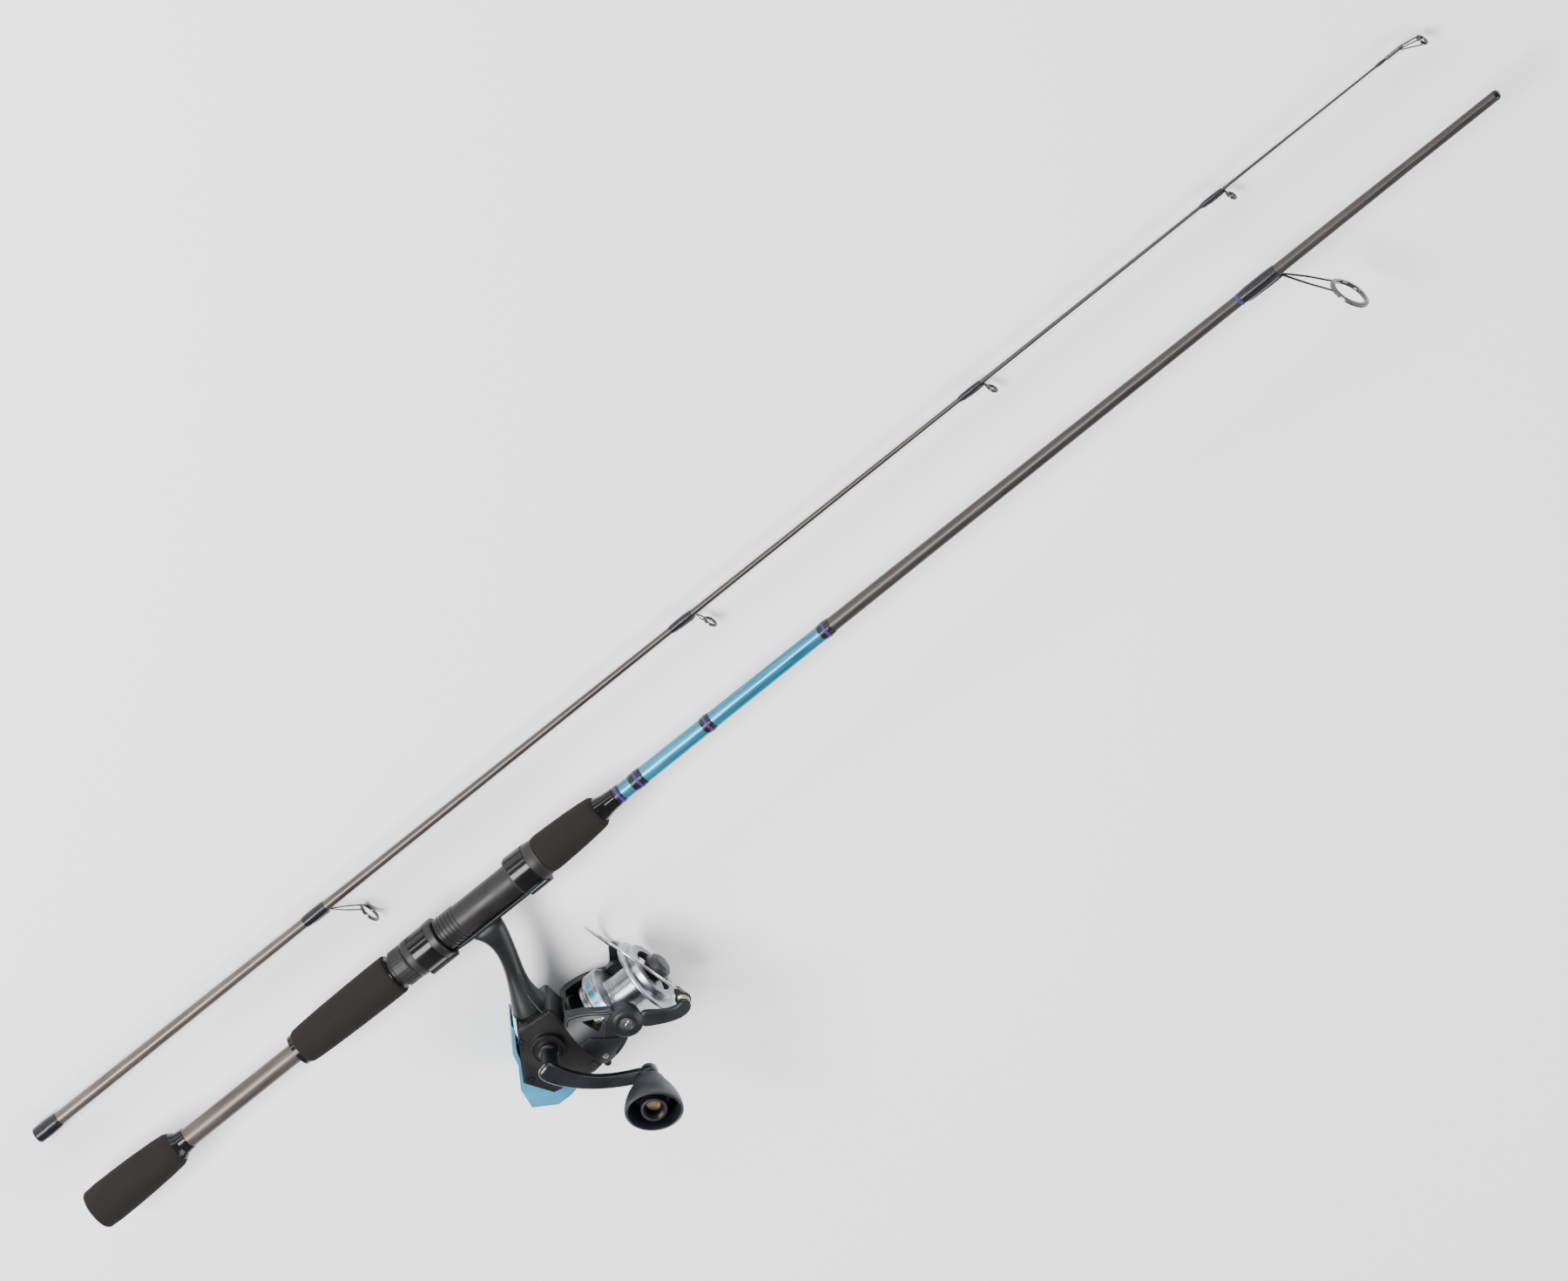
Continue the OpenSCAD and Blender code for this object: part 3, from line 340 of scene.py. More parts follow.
# %% Rod finishes
graphite_blank = finish("graphite_blank", (0.014, 0.0113, 0.0098), (0.036, 0.030, 0.0265), (0.32, 0.46), long_streaks,
                        {"Strands": 1300.0}, bump=0.1, metal=0.35, coat=0.15, coat_rough=0.25)
silver_blank = finish("silver_blank", (0.034, 0.028, 0.024), (0.080, 0.068, 0.060), (0.30, 0.42), long_streaks,
                      {"Strands": 1300.0}, bump=0.1, metal=0.45, coat=0.15, coat_rough=0.22)
foam_grip = finish("foam_grip", (0.0058, 0.005, 0.0044), (0.0135, 0.0116, 0.0102), (0.78, 0.95), foam_cells,
                   {"Cells": 2600.0}, bump=0.45, bump_mm=0.08, spec=0.2)
blue_lacquer = finish("blue_lacquer", (0.008, 0.115, 0.20), (0.028, 0.26, 0.385), (0.24, 0.36), long_streaks,
                      {"Strands": 1100.0}, bump=0.12, metal=0.6, coat=0.1, coat_rough=0.1, spec=0.3)
black_wrap = finish("black_wrap", (0.003, 0.003, 0.0045), (0.010, 0.0095, 0.013), (0.20, 0.32), thread_turns,
                    bump=0.35, bump_mm=0.05, coat=0.15, coat_rough=0.06, spec=0.25)
indigo_thread = finish("indigo_thread", (0.014, 0.008, 0.09), (0.045, 0.028, 0.22), (0.3, 0.45), thread_turns,
                       bump=0.4, bump_mm=0.05, coat=0.1, coat_rough=0.08, spec=0.25)
gloss_black = finish("gloss_black", (0.0025, 0.0025, 0.003), (0.006, 0.006, 0.0065), (0.12, 0.2), moulded_skin,
                     bump=0.04, coat=0.1, coat_rough=0.04, spec=0.22)
seat_plastic = finish("seat_plastic", (0.0075, 0.0068, 0.0062), (0.016, 0.0146, 0.0136), (0.36, 0.5), moulded_skin,
                      {"Grain": 1500.0}, bump=0.25, bump_mm=0.03, edge_mm=0.25, spec=0.3)
guide_metal = finish("guide_metal", (0.055, 0.052, 0.05), (0.16, 0.15, 0.145), (0.16, 0.28), moulded_skin,
                     bump=0.05, metal=1.0)
ring_ceramic = finish("ring_ceramic", (0.012, 0.012, 0.013), (0.03, 0.03, 0.031), (0.08, 0.16), moulded_skin,
                      bump=0.03, coat=0.5, coat_rough=0.05)
print("rod finishes made")

# %% [markdown]
# ## Finishes of the reel
# The housing and rotor are satin plastic, the crank is painted metal, and the spool is turned
# aluminium. These finishes take an edge width, which rounds their edges in the shading only.

# %% Reel finishes
reel_plastic = finish("reel_plastic", (0.0042, 0.005, 0.0053), (0.0115, 0.0138, 0.0148), (0.36, 0.5), moulded_skin,
                      {"Grain": 1800.0, "Clouds": 45.0}, bump=0.22, bump_mm=0.03, metal=0.05, edge_mm=0.45,
                      spec=0.33)
plate_plastic = finish("plate_plastic", (0.0066, 0.0060, 0.0056), (0.0145, 0.0132, 0.0124), (0.34, 0.46),
                       moulded_skin, {"Grain": 1800.0}, bump=0.22, bump_mm=0.03, metal=0.2, edge_mm=0.4)
blue_plastic = finish("blue_plastic", (0.022, 0.20, 0.36), (0.05, 0.31, 0.49), (0.30, 0.42), moulded_skin,
                      {"Grain": 1400.0, "Clouds": 40.0}, bump=0.2, bump_mm=0.02, metal=0.3, coat=0.3,
                      coat_rough=0.2, edge_mm=0.4)
crank_black = finish("crank_black", (0.008, 0.009, 0.011), (0.022, 0.025, 0.029), (0.16, 0.28), moulded_skin,
                     bump=0.08, metal=0.5, coat=0.3, coat_rough=0.12, edge_mm=0.5)
knob_black = finish("knob_black", (0.004, 0.0047, 0.007), (0.0105, 0.012, 0.017), (0.34, 0.5), moulded_skin,
                    {"Grain": 1400.0}, bump=0.2, bump_mm=0.03, spec=0.5)
bright_steel = finish("bright_steel", (0.42, 0.41, 0.39), (0.66, 0.65, 0.63), (0.14, 0.3), moulded_skin,
                      bump=0.05, metal=1.0)
dark_steel = finish("dark_steel", (0.05, 0.05, 0.052), (0.11, 0.108, 0.105), (0.22, 0.36), moulded_skin,
                    bump=0.05, metal=1.0)
turned_brass = finish("turned_brass", (0.36, 0.26, 0.11), (0.62, 0.49, 0.25), (0.2, 0.34), tool_rings,
                      bump=0.08, metal=1.0)
pale_brass = finish("pale_brass", (0.42, 0.37, 0.27), (0.74, 0.69, 0.56), (0.14, 0.28), moulded_skin,
                    bump=0.05, metal=1.0)
spool_aluminium = finish("spool_aluminium", (0.25, 0.26, 0.28), (0.40, 0.41, 0.43), (0.24, 0.34), tool_rings,
                         bump=0.12, bump_mm=0.02, metal=1.0)
felt = finish("felt", (0.07, 0.055, 0.045), (0.17, 0.14, 0.11), (0.85, 1.0), foam_cells, bump=0.6, bump_mm=0.08)
print("reel finishes made")

# %% [markdown]
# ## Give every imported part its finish
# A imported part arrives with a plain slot. A table from finish to part names is the clearest way to
# see that none is missed, and the count at the end shows it.

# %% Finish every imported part
wears = {
    graphite_blank: "butt_blank tip_blank",
    foam_grip: "rear_grip middle_grip fore_grip",
    gloss_black: "spigot_plug rear_grip_check middle_grip_rings fore_grip_check seat_front_band hood_band",
    black_wrap: "butt_wraps ferrule_wrap tip_wraps",
    blue_lacquer: "blue_sleeve",
    indigo_thread: "trim_bands",
    seat_plastic: "seat_body sliding_hood lock_nut",
    guide_metal: "butt_guide_frame tip_guide_frames tip_top_frame",
    ring_ceramic: "butt_guide_ring tip_guide_rings tip_top_ring",
    reel_plastic: "reel_body rotor arm_cover bail_arm far_bail_arm side_cap anti_reverse_lever",
    plate_plastic: "side_cover",
    blue_plastic: "rear_cover",
    crank_black: "handle_arm",
    dark_steel: "body_screws",
    knob_black: "knob drag_knob bail_cap",
    spool_aluminium: "spool spool_rim",
    bright_steel: "crank_bearings pinion_bearing one_way_clutch slider_guide_rod bail_wire "
                  "bail_screws roller_pin main_shaft drag_spring",
    turned_brass: "drive_gear knob_spindle oscillation_gear rotor_nut pinion slider_block",
    pale_brass: "line_roller",
    felt: "drag_washers",
}
for material, names in wears.items():
    for name in names.split():
        part = nodes[name]
        if part.material_slots:
            for place in part.material_slots:
                place.material = material
        else:
            part.data.materials.append(material)
print("parts finished:", sum(len(names.split()) for names in wears.values()), "of", len(nodes))

# %% [markdown]
# ## Turned parts
# Grips, blanks, wraps, hoods and the spool are round about an axis, so each is drawn as half an
# outline and spun a full turn, as on a lathe. A single point is extruded from corner to corner
# of the outline, then the spin operator sweeps it round. Doubles are merged and the normals are
# turned outwards before anything else is done.

# %% Lathe helper
def single_point(name, place):
    """Starts a mesh with one point, selected, in edit mode."""
    clear_selection()
    bpy.ops.mesh.primitive_plane_add(size=0.01)
    piece = bpy.context.active_object
    piece.name = piece.data.name = name
    bpy.ops.object.mode_set(mode="EDIT")
    bpy.ops.mesh.select_mode(type="VERT")
    bpy.ops.mesh.select_all(action="SELECT")
    bpy.ops.mesh.merge(type="CENTER")
    bpy.ops.transform.translate(value=place)
    return piece


def draw_line(points):
    """Extrudes the selected point along the others."""
    for here, there in zip(points, points[1:]):
        step = Vector(there) - Vector(here)
        bpy.ops.mesh.extrude_vertices_move(TRANSFORM_OT_translate={"value": step})


def close_up(flip_check=True):
    bpy.ops.mesh.select_all(action="SELECT")
    bpy.ops.mesh.remove_doubles(threshold=2e-6)
    if flip_check:
        bpy.ops.mesh.select_all(action="SELECT")
        bpy.ops.mesh.normals_make_consistent(inside=False)
    bpy.ops.object.mode_set(mode="OBJECT")


def dress(piece, material, body, angle=35.0, stands_for=()):
    """Material, smooth shading, and the body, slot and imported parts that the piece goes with."""
    clear_selection()
    piece.select_set(True)
    bpy.context.view_layer.objects.active = piece
    bpy.ops.object.shade_smooth_by_angle(angle=math.radians(angle))
    piece.data.materials.clear()
    piece.data.materials.append(material)
    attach(piece, body)
    if stands_for:
        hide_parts(*stands_for)
    print(piece.name, len(piece.data.polygons), "faces")
    return piece


def lathe(name, outline, centre=(0.0, 0.0, 0.0), axis=(1.0, 0.0, 0.0), out=(0.0, 0.0, 1.0), sides=48):
    """outline: (along the axis, radius) in millimetres. It closes on itself, or on the axis where the radius is 0."""
    centre, axis, out = Vector(centre), Vector(axis).normalized(), Vector(out).normalized()
    points = [(centre + axis * along + out * radius) * MM for along, radius in outline]
    if outline[0][1] or outline[-1][1]:
        points.append(points[0].copy())
    piece = single_point(name, points[0])
    draw_line(points)
    bpy.ops.mesh.select_all(action="SELECT")
    bpy.ops.mesh.spin(steps=sides, angle=2 * math.pi, center=centre * MM, axis=axis, use_auto_merge=True)
    close_up()
    return piece


def joined(name, pieces):
    """One object out of several, such as the four wraps of a section."""
    clear_selection()
    for piece in pieces:
        piece.select_set(True)
    bpy.context.view_layer.objects.active = pieces[0]
    if len(pieces) > 1:
        bpy.ops.object.join()
    pieces[0].name = pieces[0].data.name = name
    return pieces[0]


def tube_outline(profile, wall):
    """A closed outline of a tapering tube from its outer stations."""
    return profile + [(x, r - wall) for x, r in reversed(profile)]


# %% [markdown]
# ## Blanks
# The blank is a graphite tube that tapers from 11 mm to about 1 mm at the tip. The packed
# blanks have few facets for their length, so finer ones are turned here on the same stations.
# The bare blank is a lighter, silvery brown near the grips and at the tip section's thick end,
# and darkens towards the front, which a gradient along X mixes in.

# %% Blank stations
butt_stations = [(6, 5.4), (140, 5.1), (345, 4.35), (498, 3.95), (872, 2.85), (876, 2.75), (937, 2.75)]
tip_stations = [(0, 3.5), (62, 3.3), (180, 2.65), (320, 2.15), (455, 1.62), (590, 1.25), (725, 0.95), (862, 0.65),
                (905, 0.55)]


def radius_at(stations, x):
    for (x0, r0), (x1, r1) in zip(stations, stations[1:]):
        if x0 <= x <= x1:
            return r0 + (r1 - r0) * (x - x0) / (x1 - x0)
    return stations[-1][1] if x > stations[-1][0] else stations[0][1]


def fade_along(material, start_mm, end_mm, near_tone, far_tone):
    """Multiplies the finish's colours by a tone that changes along X."""
    tree = material.node_tree
    shader = tree.nodes["Principled BSDF"]
    tones = shader.inputs["Base Color"].links[0].from_socket
    split = tree.nodes.new("ShaderNodeSeparateXYZ")
    tree.links.new(tree.nodes.new("ShaderNodeTexCoord").outputs["Object"], split.inputs[0])
    along = spread(tree, split.outputs["X"], start_mm * MM, end_mm * MM)
    ramp = tree.nodes.new("ShaderNodeMix")
    ramp.data_type = "RGBA"
    ramp.inputs["A"].default_value = (*near_tone, 1.0)
    ramp.inputs["B"].default_value = (*far_tone, 1.0)
    tree.links.new(along, ramp.inputs["Factor"])
    product = tree.nodes.new("ShaderNodeMix")
    product.data_type = "RGBA"
    product.blend_type = "MULTIPLY"
    product.inputs["Factor"].default_value = 1.0
    tree.links.new(tones, product.inputs["A"])
    tree.links.new(ramp.outputs["Result"], product.inputs["B"])
    tree.links.new(product.outputs["Result"], shader.inputs["Base Color"])


# %% [markdown]
# ## Turning the two blanks
# Each section's outline is spun round its own line. The tip section's thick end has a bored
# socket that takes the slim front end of the butt section, so its outline turns back inside.

# %% Turn the blanks
fade_along(silver_blank, 20, 420, (1.6, 1.55, 1.5), (0.5, 0.48, 0.46))
blank = lathe("butt_blank_tube", tube_outline(butt_stations, 0.8))
fade_along(graphite_blank, 120, 520, (2.3, 2.2, 2.15), (1.0, 1.0, 1.0))
dress(blank, graphite_blank, "root", 20, ["butt_blank"])
tip_tube = tip_stations + [(905, 0.2), (75, 1.9), (62, 2.1), (62, 2.8), (0, 2.8)]
tip_blank = lathe("tip_blank_tube", tip_tube, (0.0, tip_y, tip_z), sides=32)
dress(tip_blank, silver_blank, "tip_section", 20, ["tip_blank"])

# %% [markdown]
# ## Lacquer, thread wraps and trim
# Between the fore grip and the bare blank, the rod has a sky-blue lacquer over the blank,
# broken by black thread wraps. Each wrap is thread laid turn by turn and sealed under clear
# varnish, which flows into a low dome with thin ends, so its outline is domed here. A narrow
# indigo trim thread lies on each of them.

# %% Domed band along a section
def domed_band(name, stations, start, end, lift, dome, centre=(0.0, 0.0, 0.0), sides=48):
    """A band from start to end: lift is its height at the ends and dome what it adds in the middle."""
    steps = 8
    top = []
    for i in range(steps + 1):
        share = i / steps
        x = start + (end - start) * share
        arch = 1.0 - abs(2.0 * share - 1.0) ** 3
        top.append((x, radius_at(stations, x) + lift + dome * arch))
    under = [(x, radius_at(stations, x) - 0.05) for x in (end, (start + end) / 2, start)]
    return lathe(name, top + under, centre, sides=sides)


wrap_spans = [(352, 356.5), (363, 371), (411, 417.2), (489.5, 496.5)]
lacquer = [domed_band(f"lacquer_{i}", butt_stations, a[1] - 0.2, b[0] + 0.2, 0.22, 0.03)
           for i, (a, b) in enumerate(zip(wrap_spans, wrap_spans[1:]))]
dress(joined("blue_lacquer_spans", lacquer), blue_lacquer, "root", 30, ["blue_sleeve"])
trims = [domed_band(f"trim_{x:.0f}", butt_stations, x, x + 1.6, 0.5 if x < 700 else 0.02, 0.2)
         for x in (353.8, 366.4, 413.4, 492.3, 767.5)]
dress(joined("trim_threads", trims), indigo_thread, "root", 30, ["trim_bands"])

# %% [markdown]
# ## Swept bars
# The guides' legs, the stem, the crank arm and the bail arm are bars whose section changes along
# a path. A face with rounded corners is placed at the first station and extruded from station to
# station. Each time it is turned to the new heading and resized, as one would do by hand.

# %% Swept bar and bent wire
def turn_about_z(degrees, centre):
    # with no window open this operator turns the other way round
    bpy.ops.transform.rotate(value=-math.radians(degrees), orient_axis="Z", center_override=centre)


def swept_bar(name, stations, corner=0.99, segments=4):
    """stations: (x, y, z, heading in degrees, half width across, half height in Z), in millimetres."""
    clear_selection()
    bpy.ops.mesh.primitive_plane_add(size=2.0)
    piece = bpy.context.active_object
    piece.name = piece.data.name = name
    bpy.ops.object.mode_set(mode="EDIT")
    bpy.ops.mesh.select_mode(type="VERT")
    bpy.ops.mesh.select_all(action="SELECT")
    bpy.ops.mesh.bevel(offset=corner, segments=segments, affect="VERTICES")
    bpy.ops.transform.rotate(value=math.pi / 2, orient_axis="Y", center_override=(0.0, 0.0, 0.0))
    centre, heading, across, high = Vector((0.0, 0.0, 0.0)), 0.0, 1.0, 1.0
    for i, (x, y, z, new_heading, new_across, new_high) in enumerate(stations):
        if i:
            bpy.ops.mesh.extrude_region_move(TRANSFORM_OT_translate={"value": (0.0, 0.0, 0.0)})
            turn_about_z(-heading, centre)
        new_across, new_high = new_across * MM, new_high * MM
        bpy.ops.transform.resize(value=(1.0, new_across / across, new_high / high), center_override=centre)
        turn_about_z(new_heading, centre)
        place = Vector((x, y, z)) * MM
        bpy.ops.transform.translate(value=place - centre)
        centre, heading, across, high = place, new_heading, new_across, new_high
    close_up()
    return piece


def headings(points):
    """Heading at each of a row of (x, y) points, from its neighbours."""
    out = []
    for i in range(len(points)):
        a, b = points[max(i - 1, 0)], points[min(i + 1, len(points) - 1)]
        out.append(math.degrees(math.atan2(b[1] - a[1], b[0] - a[0])))
    return out


def smooth_path(points, per_leg=6):
    """Points on a smooth curve through the given ones."""
    out = []
    for i in range(len(points) - 1):
        before = Vector(points[max(i - 1, 0)])
        here, there = Vector(points[i]), Vector(points[i + 1])
        after = Vector(points[min(i + 2, len(points) - 1)])
        for step in range(per_leg):
            t = step / per_leg
            out.append(0.5 * ((2 * here) + (there - before) * t + (2 * before - 5 * here + 4 * there - after) * t * t
                              + (3 * here - before - 3 * there + after) * t ** 3))
    out.append(Vector(points[-1]))
    return out


def bent_wire(name, points, radius, roundness=3):
    """A round wire through the points, in millimetres, with closed ends."""
    path = [Vector(p) * MM for p in points]
    piece = single_point(name, path[0])
    draw_line(path)
    bpy.ops.object.mode_set(mode="OBJECT")
    bpy.ops.object.convert(target="CURVE")
    wire = bpy.context.active_object
    wire.data.bevel_depth = radius * MM
    wire.data.bevel_resolution = roundness
    wire.data.use_fill_caps = True
    bpy.ops.object.convert(target="MESH")
    piece = bpy.context.active_object
    piece.name = name
    bpy.ops.object.mode_set(mode="EDIT")
    close_up()
    return piece


# %% [markdown]
# ## Line guides
# A guide is a bent wire frame with a foot at one end and a hoop at the other, and a hard ceramic
# ring pressed into the hoop. Two legs run from the foot under the wrap to the sides of the hoop.
# The wire is drawn point by point and given a round section, the hoop and ring are turned about
# the guide's own leaning axis, and the thread swells over the foot.

# %% Guide maker
def leaning_axis(lean):
    return Vector((math.cos(math.radians(lean)), math.sin(math.radians(lean)), 0.0))


def guide_pieces(tag, origin, stations, start, foot_x, ring_at, ring_r, lean, leg_r, width, hold_angle):
    """Frame pieces, ring pieces and wrap pieces of one guide. origin: the section's axis (y, z)."""
    base = Vector((0.0, origin[0], origin[1]))
    centre = base + Vector((ring_at[0], ring_at[1], 0.0))
    axis = leaning_axis(lean)
    hoop = lathe(f"hoop_{tag}", [(-width / 2, ring_r - 0.55), (-width / 2 + 0.2, ring_r), (width / 2 - 0.2, ring_r),
                                 (width / 2, ring_r - 0.55), (width / 2, ring_r - 0.6), (-width / 2, ring_r - 0.6)],
                 centre, axis, sides=40)
    frame_parts = [hoop]
    top = Vector((-axis.y, axis.x, 0.0))
    foot_y = -radius_at(stations, foot_x - 4.5) - leg_r - 0.25
    for side in (-1, 1):
        reach = ring_r - 0.2
        hold = centre + top * reach * math.cos(hold_angle) + Vector((0, 0, side * reach * math.sin(hold_angle)))
        low = centre + top * reach * math.cos(hold_angle * 1.9) + Vector(
            (0, 0, side * reach * math.sin(hold_angle * 1.9)))
        heel = base + Vector((foot_x - 8.5, foot_y, side * leg_r * 0.9))
        knee = base + Vector((foot_x + 1.0, foot_y, side * leg_r * 1.1))
        bow = knee.lerp(hold, 0.5) + Vector((0.0, 0.25 * leg_r, side * leg_r))
        path = [heel, knee - Vector((2.5, 0, 0)), *smooth_path([knee, bow, hold, low], 5)]
        frame_parts.append(bent_wire(f"leg_{tag}_{side}", path, leg_r * 0.9, 2))
    inner = ring_r - 0.55
    wall = max(0.9, 0.2 * inner)
    half = width / 2 + 0.35
    ring = lathe(f"ring_{tag}", [(-half, inner - 0.35), (-half, inner - wall + 0.3), (-half * 0.5, inner - wall),
                                 (half * 0.5, inner - wall), (half, inner - wall + 0.3), (half, inner - 0.35),
                                 (half * 0.8, inner), (-half * 0.8, inner)], centre, axis, sides=40)
    band = domed_band(f"wrap_{tag}", stations, start, foot_x, 0.28, 0.32, tuple(base))
    swell = [(start + 1.0, 0.4, 0.3), (start + 3.0, leg_r + 0.1, leg_r * 1.2),
             (foot_x - 8.0, leg_r + 0.35, leg_r * 2.1), (foot_x - 2.0, leg_r + 0.35, leg_r * 2.2),
             (foot_x - 0.3, leg_r + 0.2, leg_r * 2.0)]
    hump = swept_bar(f"hump_{tag}", [(x, base.y + foot_y + 0.1, base.z, 0.0, a, h) for x, a, h in swell])
    return frame_parts, [ring], [band, hump]


# %% [markdown]
# ## Placing the guides
# One maker draws a guide at the size it is given. The butt section has one large guide, and the
# tip section has four that shrink towards the tip, so a loop places those.

# %% Guides of both sections
butt_frame, butt_ring, butt_guide_wrap = guide_pieces(
    "butt", (0.0, 0.0), butt_stations, 770, 792, (809.8, -35.3), 10.9, 20, 0.62, 1.5, math.radians(28))
dress(joined("butt_guide_wire", butt_frame), guide_metal, "root", 40, ["butt_guide_frame"])
dress(joined("butt_guide_insert", butt_ring), ring_ceramic, "root", 40, ["butt_guide_ring"])
wraps = [domed_band(f"wrap_{a:.0f}", butt_stations, a, b, 0.25, 0.3) for a, b in wrap_spans] + butt_guide_wrap
dress(joined("butt_thread_wraps", wraps), black_wrap, "root", 40, ["butt_wraps"])

# start of the wrap, middle of the eye along and across, radius of the eye, its lean in degrees
tip_guides = [(182, 209.5, 18.4, 5.9, 11), (429, 446.5, 10, 3.9, 20), (622, 638, 6.6, 3.2, 24),
              (782, 797.5, 5.8, 3, 24)]
tip_frames, tip_rings, tip_bands = [], [], []
for i, (start, x, across, r, lean) in enumerate(tip_guides):
    parts = guide_pieces(f"tip{i}", (tip_y, tip_z), tip_stations, start, start + 14, (x, -across), r, lean, 0.42, 1.0,
                         math.radians(24))
    tip_frames += parts[0]
    tip_rings += parts[1]
    tip_bands += parts[2]
tip_bands.append(domed_band("wrap_top", tip_stations, 897.5, 904.5, 0.1, 0.25, (0.0, tip_y, tip_z), 24))
dress(joined("tip_guide_wires", tip_frames), guide_metal, "tip_section", 40, ["tip_guide_frames"])
dress(joined("tip_guide_inserts", tip_rings), ring_ceramic, "tip_section", 40, ["tip_guide_rings"])
dress(joined("tip_thread_wraps", tip_bands), black_wrap, "tip_section", 40, ["tip_wraps"])

# %% [markdown]
# ## Reel housing
# The foot, the stem and the gear housing are one moulding. The stem is a bar whose section
# swells towards the housing, so it is swept from the foot down, with its two edges following two
# curves. The housing is a flat box with soft edges: its outline is drawn point by point, filled,
# pulled up to its thickness and bevelled. The collar behind the rotor is turned.

# %% Shaped plate
def apply_modifiers(piece):
    clear_selection()
    piece.select_set(True)
    bpy.context.view_layer.objects.active = piece
    for modifier in list(piece.modifiers):
        bpy.ops.object.modifier_apply(modifier=modifier.name)


def soft_plate(name, outline, low, high, edge, segments=3):
    """A flat piece with this outline between two heights, with its edges rounded."""
    points = [Vector((x, y, low)) * MM for x, y in outline]
    piece = single_point(name, points[0])
    draw_line(points + points[:1])
    bpy.ops.mesh.select_all(action="SELECT")
    bpy.ops.mesh.remove_doubles(threshold=2e-6)
    bpy.ops.mesh.edge_face_add()
    bpy.ops.mesh.extrude_region_move(TRANSFORM_OT_translate={"value": (0.0, 0.0, (high - low) * MM)})
    close_up()
    bevel = piece.modifiers.new("soft edges", "BEVEL")
    bevel.width = edge * MM
    bevel.segments = segments
    bevel.limit_method = "ANGLE"
    bevel.angle_limit = math.radians(25)
    apply_modifiers(piece)
    return piece


def smoothed(piece, levels=1):
    rounder = piece.modifiers.new("rounder", "SUBSURF")
    rounder.levels = rounder.render_levels = levels
    apply_modifiers(piece)
    return piece


def curve_point(corners, t):
    a, b, c, d = (Vector(p) for p in corners)
    return a * (1 - t) ** 3 + b * 3 * t * (1 - t) ** 2 + c * 3 * t * t * (1 - t) + d * t ** 3


# %% [markdown]
# ## Joining the body of the reel
# The bar's stations are worked out between the stem's rear and front curves, and its thickness
# grows towards the housing. The lever's two ears under the housing are turned discs on small webs.

# %% Stem, housing, collar and foot
stem_rear = [(243, -10.2), (252, -19), (249, -33), (226, -63)]
stem_front = [(248, -66), (243, -50), (257, -36), (264, -10.2)]
thickness = [(0.0, 4.1), (0.12, 4.3), (0.3, 4.2), (0.5, 4.5), (0.68, 5.6), (0.84, 8.2), (1.0, 11.6)]
stem_stations = []
for i in range(13):
    t = i / 12
    rear, front = curve_point(stem_rear, t), curve_point(stem_front, 1 - t)
    across = (front - rear) / 2
    heading = math.degrees(math.atan2(-across.x, across.y))
    half = radius_at(thickness, t)
    centre = (rear + front) / 2
    stem_stations.append((centre.x, centre.y, -0.4 * t, heading, across.length, half))
stem = smoothed(swept_bar("stem", stem_stations, corner=0.8))
housing_outline = [(248.4, -64), (228.5, -62), (210.5, -87), (218, -101.8), (241, -106.8), (248.4, -106)]
housing = soft_plate("housing", housing_outline, -13.5, 11.5, 1.6)
collar = lathe("collar", [(244, 4.6), (244, 13.6), (250.4, 14.2), (251.0, 14.0), (251.2, 13.4), (251.2, 4.6)],
               (0.0, spool_y, 0.0), sides=64)
foot = swept_bar("foot", [(233, -10.1, 0, 0, 0.9, 2.4), (242, -10.15, 0, 0, 1.25, 3.6),
                          (283, -10.15, 0, 0, 1.25, 3.6), (292.8, -10.1, 0, 0, 0.9, 2.4)], corner=0.5)
ridge = bent_wire("stem_ridge", [(p.x, p.y, z) for p, z in zip(
    [curve_point(stem_front, t) - Vector((3.2, 0)) for t in (0.02, 0.1, 0.2, 0.3, 0.4, 0.5)],
    (11.4, 9.8, 7.6, 5.9, 5.0, 4.4))], 0.55, 3)
lever_x, lever_y = 245.5, -108.6
ears = [lathe(f"ear_{side}", [(side * 2.7 - 0.7, 0.9), (side * 2.7 - 0.7, 1.9), (side * 2.7 + 0.7, 1.9),
                              (side * 2.7 + 0.7, 0.9)], (lever_x, lever_y, 0.0), (0, 0, 1), (1, 0, 0), 24)
        for side in (-1, 1)]
webs = [soft_plate(f"web_{side}", [(243.8, -106.2), (243.8, -107.6), (247.2, -107.6), (247.2, -105.6)],
                   side * 2.7 - 0.7, side * 2.7 + 0.7, 0.15, 2) for side in (-1, 1)]
dress(joined("reel_housing", [housing, stem, collar, foot, ridge, *ears, *webs]), reel_plastic, "root",
      40, ["reel_body"])

# %% [markdown]
# ## Side plate bead
# The side plate has a thin raised bead just inside its edge, which catches the light along the
# rear of the reel. It is a round wire drawn along the inset outline and half sunk in the plate.

# %% Bead of the side plate
def inset(outline, by):
    """The outline moved inwards by a distance, for a row of corners that turn one way."""
    out = []
    count = len(outline)
    middle_point = sum((Vector(p) for p in outline), Vector((0, 0))) / count
    for i in range(count):
        a, b, c = (Vector(outline[(i + k) % count]) for k in (-1, 0, 1))
        n1 = Vector((-(b - a).y, (b - a).x)).normalized()
        n2 = Vector((-(c - b).y, (c - b).x)).normalized()
        bisector = (n1 + n2).normalized()
        if bisector.dot(middle_point - b) < 0:
            bisector.negate()
        out.append(b + bisector * by / max(0.5, abs(bisector.dot(n1))))
    return out


